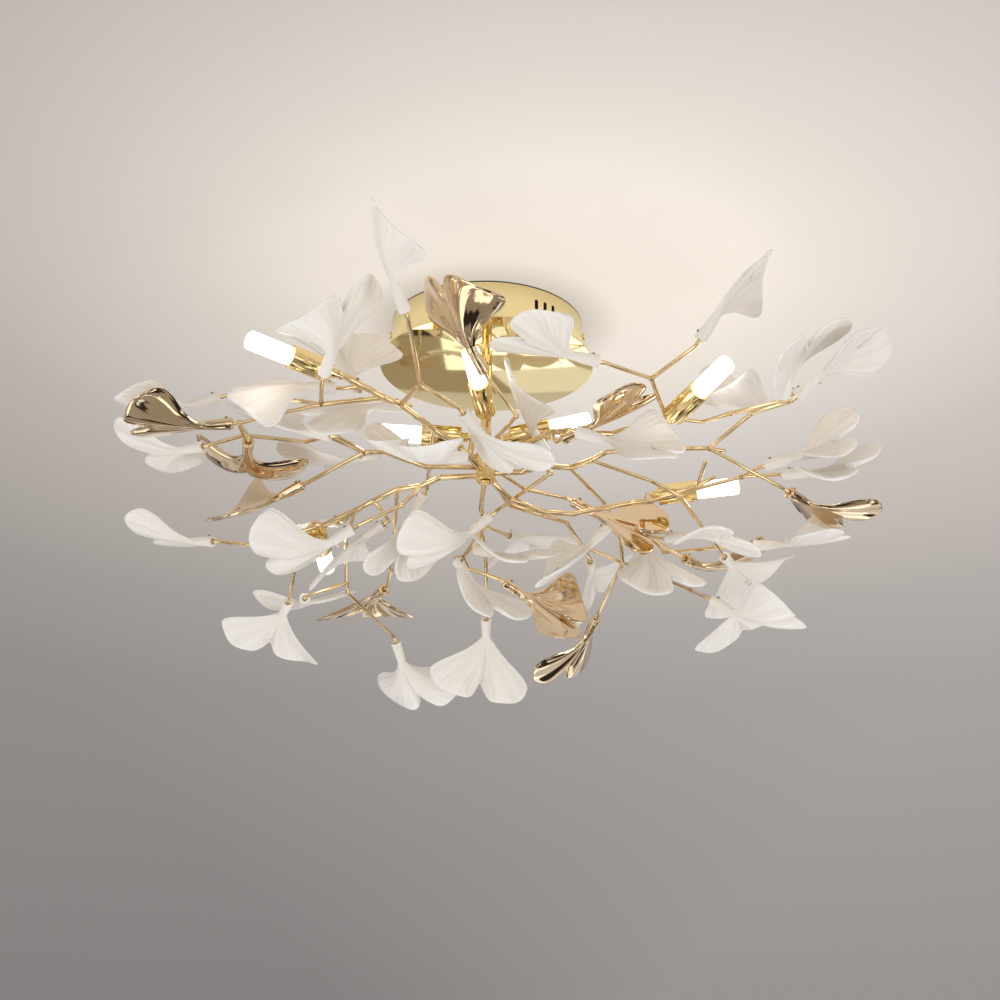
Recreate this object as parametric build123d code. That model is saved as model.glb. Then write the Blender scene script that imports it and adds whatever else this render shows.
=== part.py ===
from build123d import *
import os
from math import cos, exp, pi, radians, sin, sqrt

# Flush mount ceiling light with ginkgo leaves, millimetres.
# The origin is the centre of the canopy on the ceiling, +Z is up and the light hangs below it.
# The side that faces the viewer is -Y, the right hand side is +X.

# Driving dimensions of the ceiling canopy
canopy_diameter = 198.0
canopy_height = 45.0
canopy_wall = 1.2
canopy_sides = 48
ceiling_gap = 0.8
disc_diameter = 220.0
disc_thickness = 2.0
disc_chamfer = 0.4
vent_width = 4.0
vent_height = 11.0
vent_chamfer = 1.2
vent_reach = 4.0
vent_drop = 18.5
vent_step_angle = 6.0
vent_count = 3
vent_angle = -54.0

# Driving dimensions of the bracket and its fasteners
bracket_width = 22.0
bracket_thickness = 2.5
ear_height = 22.0
ear_screw_drop = 10.0
ear_screw_diameter = 3.6
ear_screw_length = 9.0
ear_screw_head_diameter = 8.0
ear_screw_head_height = 2.4
hole_sides = 8
ceiling_screw_spacing = 90.0
ceiling_slot_width = 5.0
ceiling_slot_length = 12.0
terminal_length = 30.0
terminal_width = 16.0
terminal_height = 13.0
terminal_bore = 3.4
terminal_bores = 3

# Driving dimensions of the stem and the hub
stem_diameter = 11.0
stem_bore = 7.0
thread_diameter = 10.0
thread_length = 15.0
nut_across_corners = 19.0
nut_thickness = 5.0
hub_diameter = 20.0
hub_height = 31.0
hub_top = -142.0
hub_socket_depth = 2.6
stem_seat_depth = 2.5
hub_cap_diameter = 11.0
hub_cap_height = 2.5
hub_cap_spigot = 8.0
hub_cap_spigot_length = 5.0
hub_cap_bore = 4.0
turned_sides = 16
bore_sides = 8

# Driving dimensions of the rods
main_rod = 6.0
branch_rod = 5.0
twig_rod = 4.0
twig_straight = 7.0
rod_sides = 6
twig_sides = 5

# Driving dimensions of the lamps
cup_diameter = 22.0
cup_length = 40.0
cup_wall = 1.2
cup_base = 1.5
cup_boss_diameter = 10.0
cup_boss_length = 7.0
socket_diameter = 17.0
socket_height = 16.0
bulb_diameter = 17.5
bulb_length = 66.0
bulb_end_chamfer = 3.5
pin_spacing = 9.0
pin_diameter = 1.8
pin_length = 6.0
pin_hole_depth = 8.0
pin_sides = 4
socket_sides = 8
lamp_sides = 12

# Driving dimensions of a leaf
leaf_reach = 94.0
collar_diameter = 12.4
collar_length = 12.0
collar_bore_depth = 9.5
collar_sides = 8
leaf_thickness = 3.8
edge_thickness = 3.0
notch_depth = 0.34
fan_half_angle = 62.0

# Clearances, tied to every fit
seat_gap = 0.3
thread_gap = 0.2
neck_setback = 12.0

canopy_radius = canopy_diameter / 2
disc_top = -canopy_height + disc_thickness
cup_floor_low = disc_top + seat_gap
cup_floor_top = cup_floor_low + canopy_wall
stem_hole = thread_diameter + 2 * seat_gap
hub_bottom = hub_top - hub_height


def save(solids, name):
    """Write one sub-part, made of one or several separate solids."""
    shape = solids[0] if len(solids) == 1 else Compound(children=list(solids))
    shape.label = name
    export_step(shape, f"parts/{name}.step")


def prism(radius, sides, low, high):
    """A straight prism whose flats stand at this distance from its axis."""
    section = RegularPolygon(radius, sides, major_radius=False)
    return Pos(0, 0, low) * extrude(section, amount=high - low)


def sleeve(outer, inner, low, high):
    """A slim turned sleeve with few flats, for the small parts round the stem."""
    bore = prism(inner / 2, bore_sides, low - 1, high + 1)
    return prism(outer / 2, turned_sides, low, high) - bore


# Canopy, bracket and what is inside
def canopy_cup():
    """Spun cup with a floor, vent slots and the two side screw holes."""
    shell = prism(canopy_radius, canopy_sides, cup_floor_low, -ceiling_gap)
    shell -= prism(canopy_radius - canopy_wall, canopy_sides, cup_floor_top, 1)
    shell = Rot(0, 0, 180 / canopy_sides) * shell
    shell -= prism(stem_hole / 2, turned_sides, cup_floor_low - 1, cup_floor_top + 1)
    for index in range(vent_count):
        turn = vent_angle + (index - (vent_count - 1) / 2) * vent_step_angle
        outline = Rectangle(vent_height, vent_width)
        slot = extrude(chamfer(outline.vertices(), vent_chamfer), amount=vent_reach, both=True)
        shell -= Rot(0, 0, turn) * Pos(canopy_radius, 0, -vent_drop) * Rot(0, 90, 0) * slot
    hole = prism(ear_screw_diameter / 2 + seat_gap, hole_sides, -canopy_radius - 5, canopy_radius + 5)
    shell -= Pos(0, 0, -ear_screw_drop) * Rot(0, 90, 0) * hole
    return shell


def canopy_disc():
    """Mirror polished disc under the cup."""
    disc = prism(disc_diameter / 2, canopy_sides, -canopy_height, disc_top)
    levels = disc.edges().group_by(Axis.Z)
    disc = chamfer(levels[0] + levels[-1], disc_chamfer)
    return disc - prism(stem_hole / 2, turned_sides, -canopy_height - 1, disc_top + 1)


def ceiling_bracket():
    """Steel strip with slots for the ceiling screws and two ears for the canopy."""
    half = canopy_radius - canopy_wall - seat_gap
    strip = Pos(0, 0, -bracket_thickness / 2) * Box(2 * half, bracket_width, bracket_thickness)
    corner = Pos(0, 0, -bracket_thickness / 2) * Cylinder(half, bracket_thickness)
    bracket = strip & corner
    for side in (-1, 1):
        edge = sqrt(half**2 - (bracket_width / 2) ** 2)
        ear = Box(bracket_thickness, bracket_width, ear_height)
        bracket += Pos(side * (edge - bracket_thickness / 2), 0, -ear_height / 2) * ear
        slot = extrude(SlotOverall(ceiling_slot_length, ceiling_slot_width), amount=10, both=True)
        bracket -= Pos(side * ceiling_screw_spacing / 2, 0, 0) * slot
    hole = prism(ear_screw_diameter / 2 + thread_gap, hole_sides, -canopy_radius, canopy_radius)
    bracket -= Pos(0, 0, -ear_screw_drop) * Rot(0, 90, 0) * hole
    return bracket


def canopy_screws():
    """Two equal screws that hold the canopy to the ears."""
    screws = []
    for turn in (0, 180):
        shank = prism(ear_screw_diameter / 2, hole_sides, -ear_screw_length, 0)
        head = prism(ear_screw_head_diameter / 2, hole_sides, 0, ear_screw_head_height)
        place = Rot(0, 0, turn) * Pos(canopy_radius + seat_gap, 0, -ear_screw_drop) * Rot(0, 90, 0)
        screws.append(place * (shank + head))
    return screws


def terminal_block():
    """Mains terminal block under the bracket."""
    top = -bracket_thickness - seat_gap
    body = Box(terminal_length, terminal_width, terminal_height)
    bore = prism(terminal_bore / 2, twig_sides, -terminal_width, terminal_width)
    for index in range(terminal_bores):
        along = (index - (terminal_bores - 1) / 2) * terminal_length / terminal_bores
        body -= Pos(along, 0, 0) * Rot(90, 0, 0) * bore
    return Pos(0, 0, top - terminal_height / 2) * body


def stem_tube():
    """Tube with a threaded, thinner top end that clamps cup and disc on its shoulder."""
    shoulder = -canopy_height - seat_gap
    low = hub_top - stem_seat_depth
    stem = prism(stem_diameter / 2, turned_sides, low, shoulder)
    stem += prism(thread_diameter / 2, turned_sides, shoulder, shoulder + thread_length)
    return stem - prism(stem_bore / 2, bore_sides, low - 1, shoulder + thread_length + 1)


def stem_nut():
    """Hexagon nut on the thread, above the floor of the cup."""
    nut = extrude(RegularPolygon(nut_across_corners / 2, 6), amount=nut_thickness)
    nut -= prism(thread_diameter / 2 + seat_gap, turned_sides, -1, nut_thickness + 1)
    return Pos(0, 0, cup_floor_top + seat_gap) * nut


def hub_body(sockets):
    """Turned hub, open below, with one blind socket for the root of each arm."""
    hub = sleeve(hub_diameter, hub_cap_spigot + 2 * seat_gap, hub_bottom, hub_top)
    seat_floor = hub_top - stem_seat_depth - seat_gap
    hub -= prism(stem_diameter / 2 + seat_gap, turned_sides, seat_floor, hub_top + 1)
    for place, diameter in sockets:
        hub -= place * prism(diameter / 2 + seat_gap, rod_sides, 0, hub_diameter)
    return hub


def hub_cap():
    """Plug that closes the hub from below."""
    flange_top = hub_bottom - seat_gap
    flange = prism(hub_cap_diameter / 2, turned_sides, flange_top - hub_cap_height, flange_top)
    spigot_top = flange_top + hub_cap_spigot_length
    plug = flange + prism(hub_cap_spigot / 2, bore_sides, flange_top, spigot_top)
    return plug - prism(hub_cap_bore / 2, twig_sides, flange_top - hub_cap_height - 1, spigot_top + 1)


# Rods: bent with mitred corners, welded where they meet
def bent_rod(diameter, *points, before=0.5, after=0.5):
    """A rod through several points, with its ends a share of its diameter past them."""
    corners = [Vector(*point) for point in points]
    start_along = (corners[1] - corners[0]).normalized()
    end_along = (corners[-1] - corners[-2]).normalized()
    corners[0] -= start_along * before * diameter
    corners[-1] += end_along * after * diameter
    sides = rod_sides if diameter > twig_rod else twig_sides
    section = Plane(origin=corners[0], z_dir=start_along) * RegularPolygon(diameter / 2, sides)
    return sweep(section, path=Polyline(*corners), transition=Transition.RIGHT)


# Lamps: cup, socket and bulb share one axis
def lamp_cup():
    """Cup with a floor, and a boss below it that takes the end of the neck."""
    cup = prism(cup_diameter / 2, lamp_sides, 0, cup_length)
    cup -= prism(cup_diameter / 2 - cup_wall, lamp_sides, cup_base, cup_length + 1)
    cup += prism(cup_boss_diameter / 2, rod_sides, -cup_boss_length, 0)
    return cup - prism(main_rod / 2 + seat_gap, rod_sides, -cup_boss_length - 1, cup_base + 1)


def lamp_socket():
    """Ceramic lamp holder on the floor of the cup, with two pin holes."""
    low = cup_base + seat_gap
    top = low + socket_height
    holder = prism(socket_diameter / 2, socket_sides, low, top)
    hole = prism(pin_diameter / 2 + seat_gap, pin_sides, top - pin_hole_depth, top + 1)
    for side in (-1, 1):
        holder -= Pos(side * pin_spacing / 2, 0, 0) * hole
    return holder


def lamp_bulb():
    """Capsule bulb with a tapered end and two pins."""
    low = cup_base + socket_height + 2 * seat_gap
    bulb = prism(bulb_diameter / 2, lamp_sides, low, low + bulb_length)
    bulb = chamfer(bulb.edges().group_by(Axis.Z)[-1], bulb_end_chamfer)
    pin = prism(pin_diameter / 2, pin_sides, low - pin_length, low + 1)
    for side in (-1, 1):
        bulb += Pos(side * pin_spacing / 2, 0, 0) * pin
    return bulb


# Leaves: a round collar that flattens into a notched fan
# Each mould is named by its three bends: rise along the middle, rise at the sides, twist
MOULDS = {
    "fold": (4.0, 20.0, 0.0),
    "lift": (26.0, 12.0, 0.0),
    "wave": (-8.0, -14.0, 7.0),
    "bowl": (34.0, 26.0, 0.0),
}


def fan_point(mould, along, across):
    """Middle surface of the blade: along runs 0 to 1 from the collar, across -1 to 1."""
    middle, sides, twist = MOULDS[mould]
    notch = notch_depth * exp(-((across / 0.06) ** 2))
    radius = leaf_reach * along * (1 - 0.30 * across**4 - notch * along**4)
    spread = 14 + (fan_half_angle - 14) * along**1.3
    angle = radians(spread) * across
    bend = max(0.0, (along - 0.2) / 0.8)
    rise = middle * bend**2 + sides * bend**1.5 * across**2
    rise += twist * bend * sin(1.3 * pi * across)
    return collar_length + radius * cos(angle), radius * sin(angle), rise


def round_ring(x, half_width, half_height, count, start=180.0):
    """Points round the collar, with their share of the way round."""
    ring = []
    for index in range(count):
        angle = radians(start - 360.0 * index / count)
        ring.append((index / count, (x, half_width * cos(angle), half_height * sin(angle))))
    return ring


def fan_ring(mould, along, columns, thickness):
    """Points round the blade: over the top from side to side and back below."""
    over = [fan_point(mould, along, -across) for across in reversed(columns)]
    ring = []
    for index, (x, y, z) in enumerate(over):
        share = 0.5 * (index + 0.25) / (len(over) - 0.5)
        ring.append((share, (x, y, z + thickness / 2)))
    for index, (x, y, z) in enumerate(reversed(over)):
        share = 0.5 + 0.5 * (index + 0.25) / (len(over) - 0.5)
        ring.append((share, (x, y, z - thickness / 2)))
    return ring


def band(first, second):
    """Triangles between two rings that need not have the same number of points."""
    triangles = []
    here = 0
    there = 0
    while here < len(first) or there < len(second):
        next_here = first[here + 1][0] if here + 1 < len(first) else 1.0
        next_there = second[there + 1][0] if there + 1 < len(second) else 1.0
        a = first[here % len(first)][1]
        b = second[there % len(second)][1]
        if there >= len(second) or (here < len(first) and next_here <= next_there):
            triangles.append((a, first[(here + 1) % len(first)][1], b))
            here += 1
        else:
            triangles.append((a, second[(there + 1) % len(second)][1], b))
            there += 1
    return triangles


def leaf_blank(mould, hand):
    """One closed leaf: bored collar, stalk and fan."""
    collar = collar_diameter / 2
    bore = (twig_rod / 2 + seat_gap) / cos(pi / twig_sides)
    three = (-1.0, 0.0, 1.0)
    five = (-1.0, -0.5, 0.0, 0.5, 1.0)
    seven = (-1.0, -0.6, -0.11, 0.0, 0.11, 0.6, 1.0)
    stalk_x, stalk_half, _ = fan_point(mould, 0.2, 1.0)
    rings = [
        round_ring(collar_bore_depth, bore, bore, twig_sides),
        round_ring(0.0, bore, bore, twig_sides),
        round_ring(0.0, collar, collar, collar_sides),
        round_ring(stalk_x, stalk_half, 0.55 * collar, collar_sides),
        fan_ring(mould, 0.42, three, leaf_thickness),
        fan_ring(mould, 0.74, five, leaf_thickness),
        fan_ring(mould, 1.0, seven, edge_thickness),
    ]
    corners = []
    for first, second in zip(rings, rings[1:]):
        corners += band(first, second)
    edge = [point for _, point in rings[-1]]
    last = len(edge) - 1
    for index in range(len(seven) - 1):
        corners.append((edge[index], edge[index + 1], edge[last - index]))
        corners.append((edge[index + 1], edge[last - index - 1], edge[last - index]))
    floor = [point for _, point in rings[0]]
    corners.append(tuple(reversed(floor)))
    faces = []
    for loop in corners:
        points = [Vector(x, hand * y, z) for x, y, z in loop]
        faces.append(Face(Wire.make_polygon(points, close=True)))
    return Solid(Shell(faces))


blanks = {}


def leaf(mould, hand, place):
    """A copy of the mould, put in its place."""
    if (mould, hand) not in blanks:
        blanks[(mould, hand)] = leaf_blank(mould, hand)
    return place * blanks[(mould, hand)]


def leaf_place(at, heading, rise, roll):
    """Frame of a leaf: x along the stalk, z out of the fan."""
    stalk = Vector(cos(radians(rise)) * cos(radians(heading)), cos(radians(rise)) * sin(radians(heading)),
                   sin(radians(rise)))
    side = Vector(-sin(radians(heading)), cos(radians(heading)), 0)
    normal = stalk.cross(side)
    across = side * cos(radians(roll)) + normal * sin(radians(roll))
    return Plane(origin=at, x_dir=stalk, z_dir=stalk.cross(across)), stalk


class Arm:
    """A welded branch with its twigs, the leaves on them and its lamp."""

    leaves = {}
    sockets = []
    cups = []
    holders = []

    def __init__(self, name):
        self.name = name
        self.rods = []

    def root(self, diameter, height, *points):
        """The main run: screwed into the hub at this height, then from joint to joint."""
        centre = Vector(0, 0, height)
        along = (Vector(*points[0]) - centre).normalized()
        start = centre + along * (hub_diameter / 2 - hub_socket_depth)
        socket = Plane(origin=start, z_dir=along).location
        Arm.sockets.append((socket, diameter))
        end = start + along * seat_gap
        self.rods.append(bent_rod(diameter, tuple(end), *points, before=0.0))

    def run(self, diameter, *points):
        """A side rod welded on at its first point."""
        self.rods.append(bent_rod(diameter, *points))

    def leaf(self, group, mould, joint, at, heading, rise, roll, hand=1):
        """A twig from a joint to the collar, and the leaf on its end."""
        frame, stalk = leaf_place(at, heading, rise, roll)
        knee = Vector(*at) - stalk * twig_straight
        tip = Vector(*at) + stalk * (collar_bore_depth - seat_gap)
        if (knee - Vector(*joint)).dot(stalk) > 0:
            self.rods.append(bent_rod(twig_rod, joint, tuple(knee), tuple(tip), after=0.0))
        else:
            self.rods.append(bent_rod(twig_rod, joint, tuple(knee)))
            self.rods.append(bent_rod(twig_rod, tuple(knee), tuple(tip), after=0.0))
        Arm.leaves.setdefault(group, []).append(leaf(mould, hand, frame.location))

    def lamp(self, number, joint, base, tip):
        """A lamp at the end of a neck: cup, socket and bulb on one axis."""
        axis = (Vector(*tip) - Vector(*base)).normalized()
        place = Plane(origin=base, z_dir=axis).location
        bend = Vector(*base) - axis * neck_setback
        end = Vector(*base) + axis * (cup_base - seat_gap)
        self.rods.append(bent_rod(main_rod, joint, tuple(bend)))
        self.rods.append(bent_rod(main_rod, tuple(bend), tuple(end), after=0.0))
        save([place * lamp_bulb()], f"bulb_{number}")
        Arm.cups.append(place * lamp_cup())
        Arm.holders.append(place * lamp_socket())

    def finish(self):
        """Weld the rods into one piece."""
        welded = self.rods[0].fuse(*self.rods[1:]) if len(self.rods) > 1 else self.rods[0]
        save([welded], f"arm_{self.name}")


# Layout: joints and collars in millimetres, read from the photograph to the nearest 5
def arm_front_left():
    """Arm towards the viewer and left, with lamp 1 on its end."""
    first = (-25, -45, -155)
    low_fork = (-50, -75, -150)
    knob_fork = (-80, -110, -140)
    twig_fork = (-95, -125, -140)
    pair_fork = (-115, -140, -135)
    end = (-135, -155, -130)
    knob = (-60, -155, -140)
    far_joint = (-155, -120, -145)
    far_stub = (-175, -105, -135)
    arm = Arm("front_left")
    arm.root(main_rod, -166, first, low_fork, knob_fork, twig_fork, pair_fork, end)
    arm.run(branch_rod, twig_fork, far_joint)
    arm.run(branch_rod, knob_fork, knob)
    arm.run(twig_rod, far_joint, far_stub)
    arm.leaf("white_front_left", "wave", far_joint, (-145, -195, -150), 290, 20, 215)
    arm.leaf("white_front_left", "wave", pair_fork, (-120, -125, -130), 120, 50, 175, hand=-1)
    arm.leaf("white_front_left", "wave", pair_fork, (-140, -135, -135), 185, 0, 315)
    arm.leaf("white_front_left", "lift", far_stub, (-260, -70, -115), 185, -20, 335)
    arm.leaf("gold_front_left", "fold", far_joint, (-235, -130, -170), 180, -5, 355)
    arm.leaf("white_front_knob", "wave", knob, (-70, -250, -115), 245, 40, 130, hand=-1)
    arm.leaf("white_front_knob", "wave", knob, (-20, -135, -160), 55, -20, 205, hand=-1)
    arm.leaf("white_front_inner", "wave", knob_fork, (-80, -75, -125), 195, -10, 330, hand=-1)
    arm.leaf("white_front_inner", "lift", first, (-20, -70, -175), 220, -25, 335)
    arm.leaf("white_front_inner", "wave", low_fork, (-65, 80, -155), 130, -45, 340)
    arm.lamp(1, end, (-145, -160, -130), (-215, -205, -120))
    arm.finish()


def arm_front():
    """Thin arm towards the viewer with one gold leaf."""
    first = (10, -65, -155)
    joint = (30, -130, -160)
    arm = Arm("front")
    arm.root(twig_rod, -159, first, joint)
    arm.leaf("gold_front", "wave", joint, (0, -160, -130), 230, 40, 160, hand=-1)
    arm.finish()


def arm_front_right():
    """Arm towards the viewer and right, with lamp 5."""
    first = (65, -60, -145)
    middle = (125, -45, -140)
    end = (175, -85, -140)
    riser = (165, -115, -135)
    fork = (155, -150, -130)
    side_joint = (210, -75, -140)
    side_end = (235, -95, -140)
    arm = Arm("front_right")
    arm.root(main_rod, -154, first, middle, end)
    arm.run(twig_rod, end, riser, fork)
    arm.run(twig_rod, end, side_joint, side_end)
    arm.leaf("white_front_right", "wave", first, (85, -140, -180), 355, -20, 225, hand=-1)
    arm.leaf("white_front_right", "wave", fork, (195, -200, -115), 330, 50, 20)
    arm.leaf("white_front_right", "wave", fork, (105, -165, -120), 205, 0, 170)
    arm.leaf("white_front_right", "wave", side_end, (280, -135, -140), 275, 15, 45, hand=-1)
    arm.leaf("gold_front_right", "wave", first, (75, -65, -155), 335, 15, 205, hand=-1)
    arm.lamp(5, end, (180, -100, -145), (225, -165, -120))
    arm.finish()


def arm_right():
    """Arm to the right that carries the most leaves."""
    first = (35, -5, -165)
    clamp_joint = (60, -10, -160)
    low_fork = (85, -5, -160)
    fork = (105, -25, -160)
    rise = (120, -35, -155)
    run_out = (200, -45, -155)
    far_fork = (220, -45, -155)
    far_end = (255, -95, -140)
    far_tip = (325, -80, -98)
    far_stub = (235, -40, -155)
    side_joint = (165, -10, -175)
    side_end = (195, 5, -185)
    drop = (125, 80, -165)
    drop_fork = (145, 145, -170)
    drop_end = (150, 180, -195)
    drop_side = (175, 145, -175)
    drop_side_end = (195, 185, -180)
    clamp_end = (65, -15, -170)
    short_end = (50, -15, -160)
    arm = Arm("right")
    arm.root(main_rod, -164, first, clamp_joint, low_fork, fork)
    arm.run(branch_rod, fork, rise, run_out, far_fork)
    arm.run(twig_rod, far_fork, far_end, far_tip)
    arm.run(twig_rod, far_fork, far_stub)
    arm.run(twig_rod, fork, side_joint, side_end)
    arm.run(twig_rod, low_fork, drop, drop_fork, drop_end)
    arm.run(twig_rod, drop_fork, drop_side, drop_side_end)
    arm.run(twig_rod, clamp_joint, clamp_end)
    arm.run(twig_rod, first, short_end)
    arm.leaf("white_right_inner", "lift", clamp_end, (5, 65, -185), 170, -40, 0, hand=-1)
    arm.leaf("white_right_inner", "wave", short_end, (60, -20, -150), 235, 35, 130, hand=-1)
    arm.leaf("white_right_drop", "wave", side_end, (255, 130, -205), 65, 0, 330, hand=-1)
    arm.leaf("white_right_drop", "wave", drop, (130, 90, -185), 155, -40, 140)
    arm.leaf("white_right_drop", "wave", drop_fork, (150, 135, -185), 320, -40, 15)
    arm.leaf("white_right_low", "wave", drop_side, (190, 85, -200), 315, -10, 5, hand=-1)
    arm.leaf("white_right_low", "wave", drop_side_end, (285, 120, -195), 340, -5, 205, hand=-1)
    arm.leaf("white_right_far", "bowl", far_tip, (310, -60, -100), 180, -25, 330)
    arm.leaf("white_right_far", "fold", far_end, (295, -125, -135), 315, 25, 200)
    arm.leaf("gold_right_drop", "wave", drop_end, (125, 270, -230), 115, -35, 145)
    arm.leaf("gold_right_drop", "lift", drop_side, (215, 150, -200), 50, 0, 5)
    arm.leaf("gold_right_far", "wave", far_fork, (305, 5, -180), 40, -10, 195, hand=-1)
    arm.finish()


def arm_right_low():
    """Lower arm to the right, with lamp 6 on its end."""
    first = (25, 30, -180)
    middle = (60, 40, -190)
    bend = (90, 45, -190)
    rise = (150, 50, -175)
    end = (170, 45, -175)
    stub_fork = (215, 15, -170)
    stub_end = (230, 5, -165)
    stub_up = (220, -10, -155)
    pair_fork = (260, 15, -160)
    arm = Arm("right_low")
    arm.root(main_rod, -167, first, middle, bend, rise, end)
    arm.run(twig_rod, end, stub_fork, stub_end)
    arm.run(twig_rod, stub_fork, stub_up)
    arm.run(twig_rod, end, pair_fork)
    arm.leaf("white_right_pair", "wave", pair_fork, (280, -15, -160), 330, 5, 225)
    arm.leaf("white_right_pair", "wave", pair_fork, (300, -5, -165), 315, -15, 210)
    arm.lamp(6, end, (180, 65, -160), (265, 50, -155))
    arm.finish()


def arm_rear_right():
    """Arm away from the viewer and right."""
    first = (25, 60, -175)
    middle = (60, 75, -180)
    bend = (85, 95, -180)
    fork = (105, 155, -185)
    run_out = (170, 200, -195)
    end = (230, 240, -205)
    arm = Arm("rear_right")
    arm.root(branch_rod, -158, first, middle, bend)
    arm.run(twig_rod, bend, fork, run_out, end)
    arm.leaf("white_rear_right", "fold", fork, (115, 190, -190), 85, -5, 125)
    arm.leaf("white_rear_right", "lift", end, (245, 170, -240), 335, -35, 0)
    arm.leaf("white_rear_right", "wave", end, (280, 265, -220), 75, 5, 345, hand=-1)
    arm.finish()


def arm_right_gold():
    """Thin arm to the right with one gold leaf."""
    first = (40, 40, -165)
    joint = (45, 41, -166)
    arm = Arm("right_gold")
    arm.root(twig_rod, -153, first, joint)
    arm.leaf("gold_right", "wave", first, (90, 60, -170), 0, -30, 225)
    arm.finish()


def arm_rear():
    """Arm straight away from the viewer."""
    first = (-5, 70, -175)
    side_fork = (0, 95, -185)
    fork = (-5, 110, -185)
    end = (0, 160, -195)
    twin_fork = (-25, 165, -195)
    gold_joint = (-20, 185, -200)
    arm = Arm("rear")
    arm.root(branch_rod, -164, first, side_fork, fork, end)
    arm.run(twig_rod, fork, twin_fork, gold_joint)
    arm.leaf("white_rear", "lift", end, (0, 275, -230), 90, -35, 195, hand=-1)
    arm.leaf("white_rear", "wave", twin_fork, (-30, 135, -210), 320, -55, 180)
    arm.leaf("white_rear", "wave", twin_fork, (-10, 125, -200), 315, -25, 190)
    arm.leaf("white_rear", "wave", side_fork, (25, 150, -175), 70, 15, 350)
    arm.leaf("gold_rear", "wave", gold_joint, (20, 175, -220), 15, -30, 240, hand=-1)
    arm.finish()


def arm_rear_left():
    """Arm away from the viewer and left, with lamp 7 on its end."""
    first = (-45, 10, -165)
    down_fork = (-65, 20, -170)
    gold_fork = (-90, 30, -170)
    leaf_fork = (-115, 50, -175)
    long_fork = (-135, 65, -180)
    end = (-170, 95, -185)
    side_fork = (-200, 107, -189)
    far_joint = (-255, 130, -195)
    side_end = (-210, 180, -205)
    hang_joint = (-150, 130, -190)
    hang_fork = (-155, 210, -210)
    hang_end = (-155, 230, -215)
    down_end = (-85, 25, -190)
    gold_joint = (-105, 195, -200)
    arm = Arm("rear_left")
    arm.root(main_rod, -167, first, down_fork, gold_fork, leaf_fork, long_fork, end)
    arm.run(twig_rod, end, side_fork, far_joint)
    arm.run(twig_rod, side_fork, side_end)
    arm.run(twig_rod, long_fork, hang_joint, hang_fork, hang_end)
    arm.run(twig_rod, down_fork, down_end)
    arm.run(twig_rod, gold_fork, gold_joint)
    arm.leaf("white_rear_left", "lift", down_end, (-135, 40, -210), 170, -30, 10)
    arm.leaf("white_rear_left", "wave", leaf_fork, (-105, 65, -195), 145, -20, 330, hand=-1)
    arm.leaf("white_rear_left", "wave", long_fork, (-160, 150, -160), 140, 10, 350, hand=-1)
    arm.leaf("white_rear_hang", "wave", hang_fork, (-200, 205, -230), 95, 10, 175, hand=-1)
    arm.leaf("white_rear_hang", "bowl", hang_end, (-105, 320, -245), 65, -50, 355, hand=-1)
    arm.leaf("white_rear_hang", "wave", side_end, (-220, 220, -230), 110, -15, 20, hand=-1)
    arm.leaf("white_rear_hang", "fold", far_joint, (-290, 120, -195), 150, 10, 0)
    arm.leaf("gold_rear_left", "fold", gold_joint, (-115, 245, -205), 115, 0, 170)
    arm.lamp(7, end, (-180, 110, -185), (-175, 195, -200))
    arm.finish()


def arm_left():
    """Arm to the left."""
    first = (-60, -5, -160)
    middle = (-100, -30, -155)
    fork = (-120, -30, -155)
    bend = (-155, -45, -145)
    rise = (-180, -20, -140)
    end = (-240, -35, -140)
    down_end = (-240, -70, -142)
    arm = Arm("left")
    arm.root(branch_rod, -158, first, middle, fork, bend)
    arm.run(twig_rod, bend, rise, end, down_end)
    arm.leaf("white_left", "wave", end, (-280, -30, -150), 145, 5, 185)
    arm.leaf("white_left", "wave", fork, (-150, -70, -155), 165, 15, 155)
    arm.leaf("white_left", "fold", fork, (-125, -10, -150), 125, 10, 355)
    arm.leaf("gold_left", "lift", down_end, (-230, -65, -160), 100, -10, 10, hand=-1)
    arm.leaf("gold_left", "wave", fork, (-185, 20, -170), 160, -20, 140)
    arm.finish()


def lamp_arms():
    """Three short necks that hold the inner lamps above the hub."""
    inner = (
        (2, "lamp_front", (-2, -16, -147), (0, -30, -110), (-15, -105, -80)),
        (3, "lamp_left", (-16, -4, -147), (-25, 0, -125), (-110, 0, -120)),
        (4, "lamp_right", (16, 1, -147), (25, 0, -125), (105, 0, -105)),
    )
    for number, name, elbow, base, tip in inner:
        arm = Arm(name)
        arm.root(branch_rod, -149, elbow)
        arm.lamp(number, elbow, base, tip)
        arm.finish()


def build():
    os.makedirs("parts", exist_ok=True)
    save([ceiling_bracket()], "ceiling_bracket")
    save([canopy_cup()], "canopy_cup")
    save([canopy_disc()], "canopy_disc")
    save(canopy_screws(), "canopy_screws")
    save([terminal_block()], "terminal_block")
    save([stem_tube()], "stem_tube")
    save([stem_nut()], "stem_nut")
    arm_front_left()
    arm_front()
    arm_front_right()
    arm_right()
    arm_right_low()
    arm_rear_right()
    arm_right_gold()
    arm_rear()
    arm_rear_left()
    arm_left()
    lamp_arms()
    save([hub_body(Arm.sockets)], "hub_body")
    save([hub_cap()], "hub_cap")
    save(Arm.cups, "lamp_cups")
    save(Arm.holders, "lamp_sockets")
    for group, solids in Arm.leaves.items():
        save(solids, f"leaf_{group}")


build()
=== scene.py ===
# %% [markdown]
# # A ceiling light with ginkgo leaves
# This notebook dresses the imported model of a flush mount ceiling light. A round brass canopy sits on
# the ceiling, a short stem hangs from it, and from the hub on the stem thin brass rods fork like twigs.
# They carry cast leaves, white or gold plated, and seven small cup lamps.
#
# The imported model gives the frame: metres, +Z up, the origin on the ceiling at the centre of the canopy.
# The viewer stands on the -Y side and looks up at the light.

# %% Load the frame
from math import cos, exp, pi, radians, sin

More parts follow.
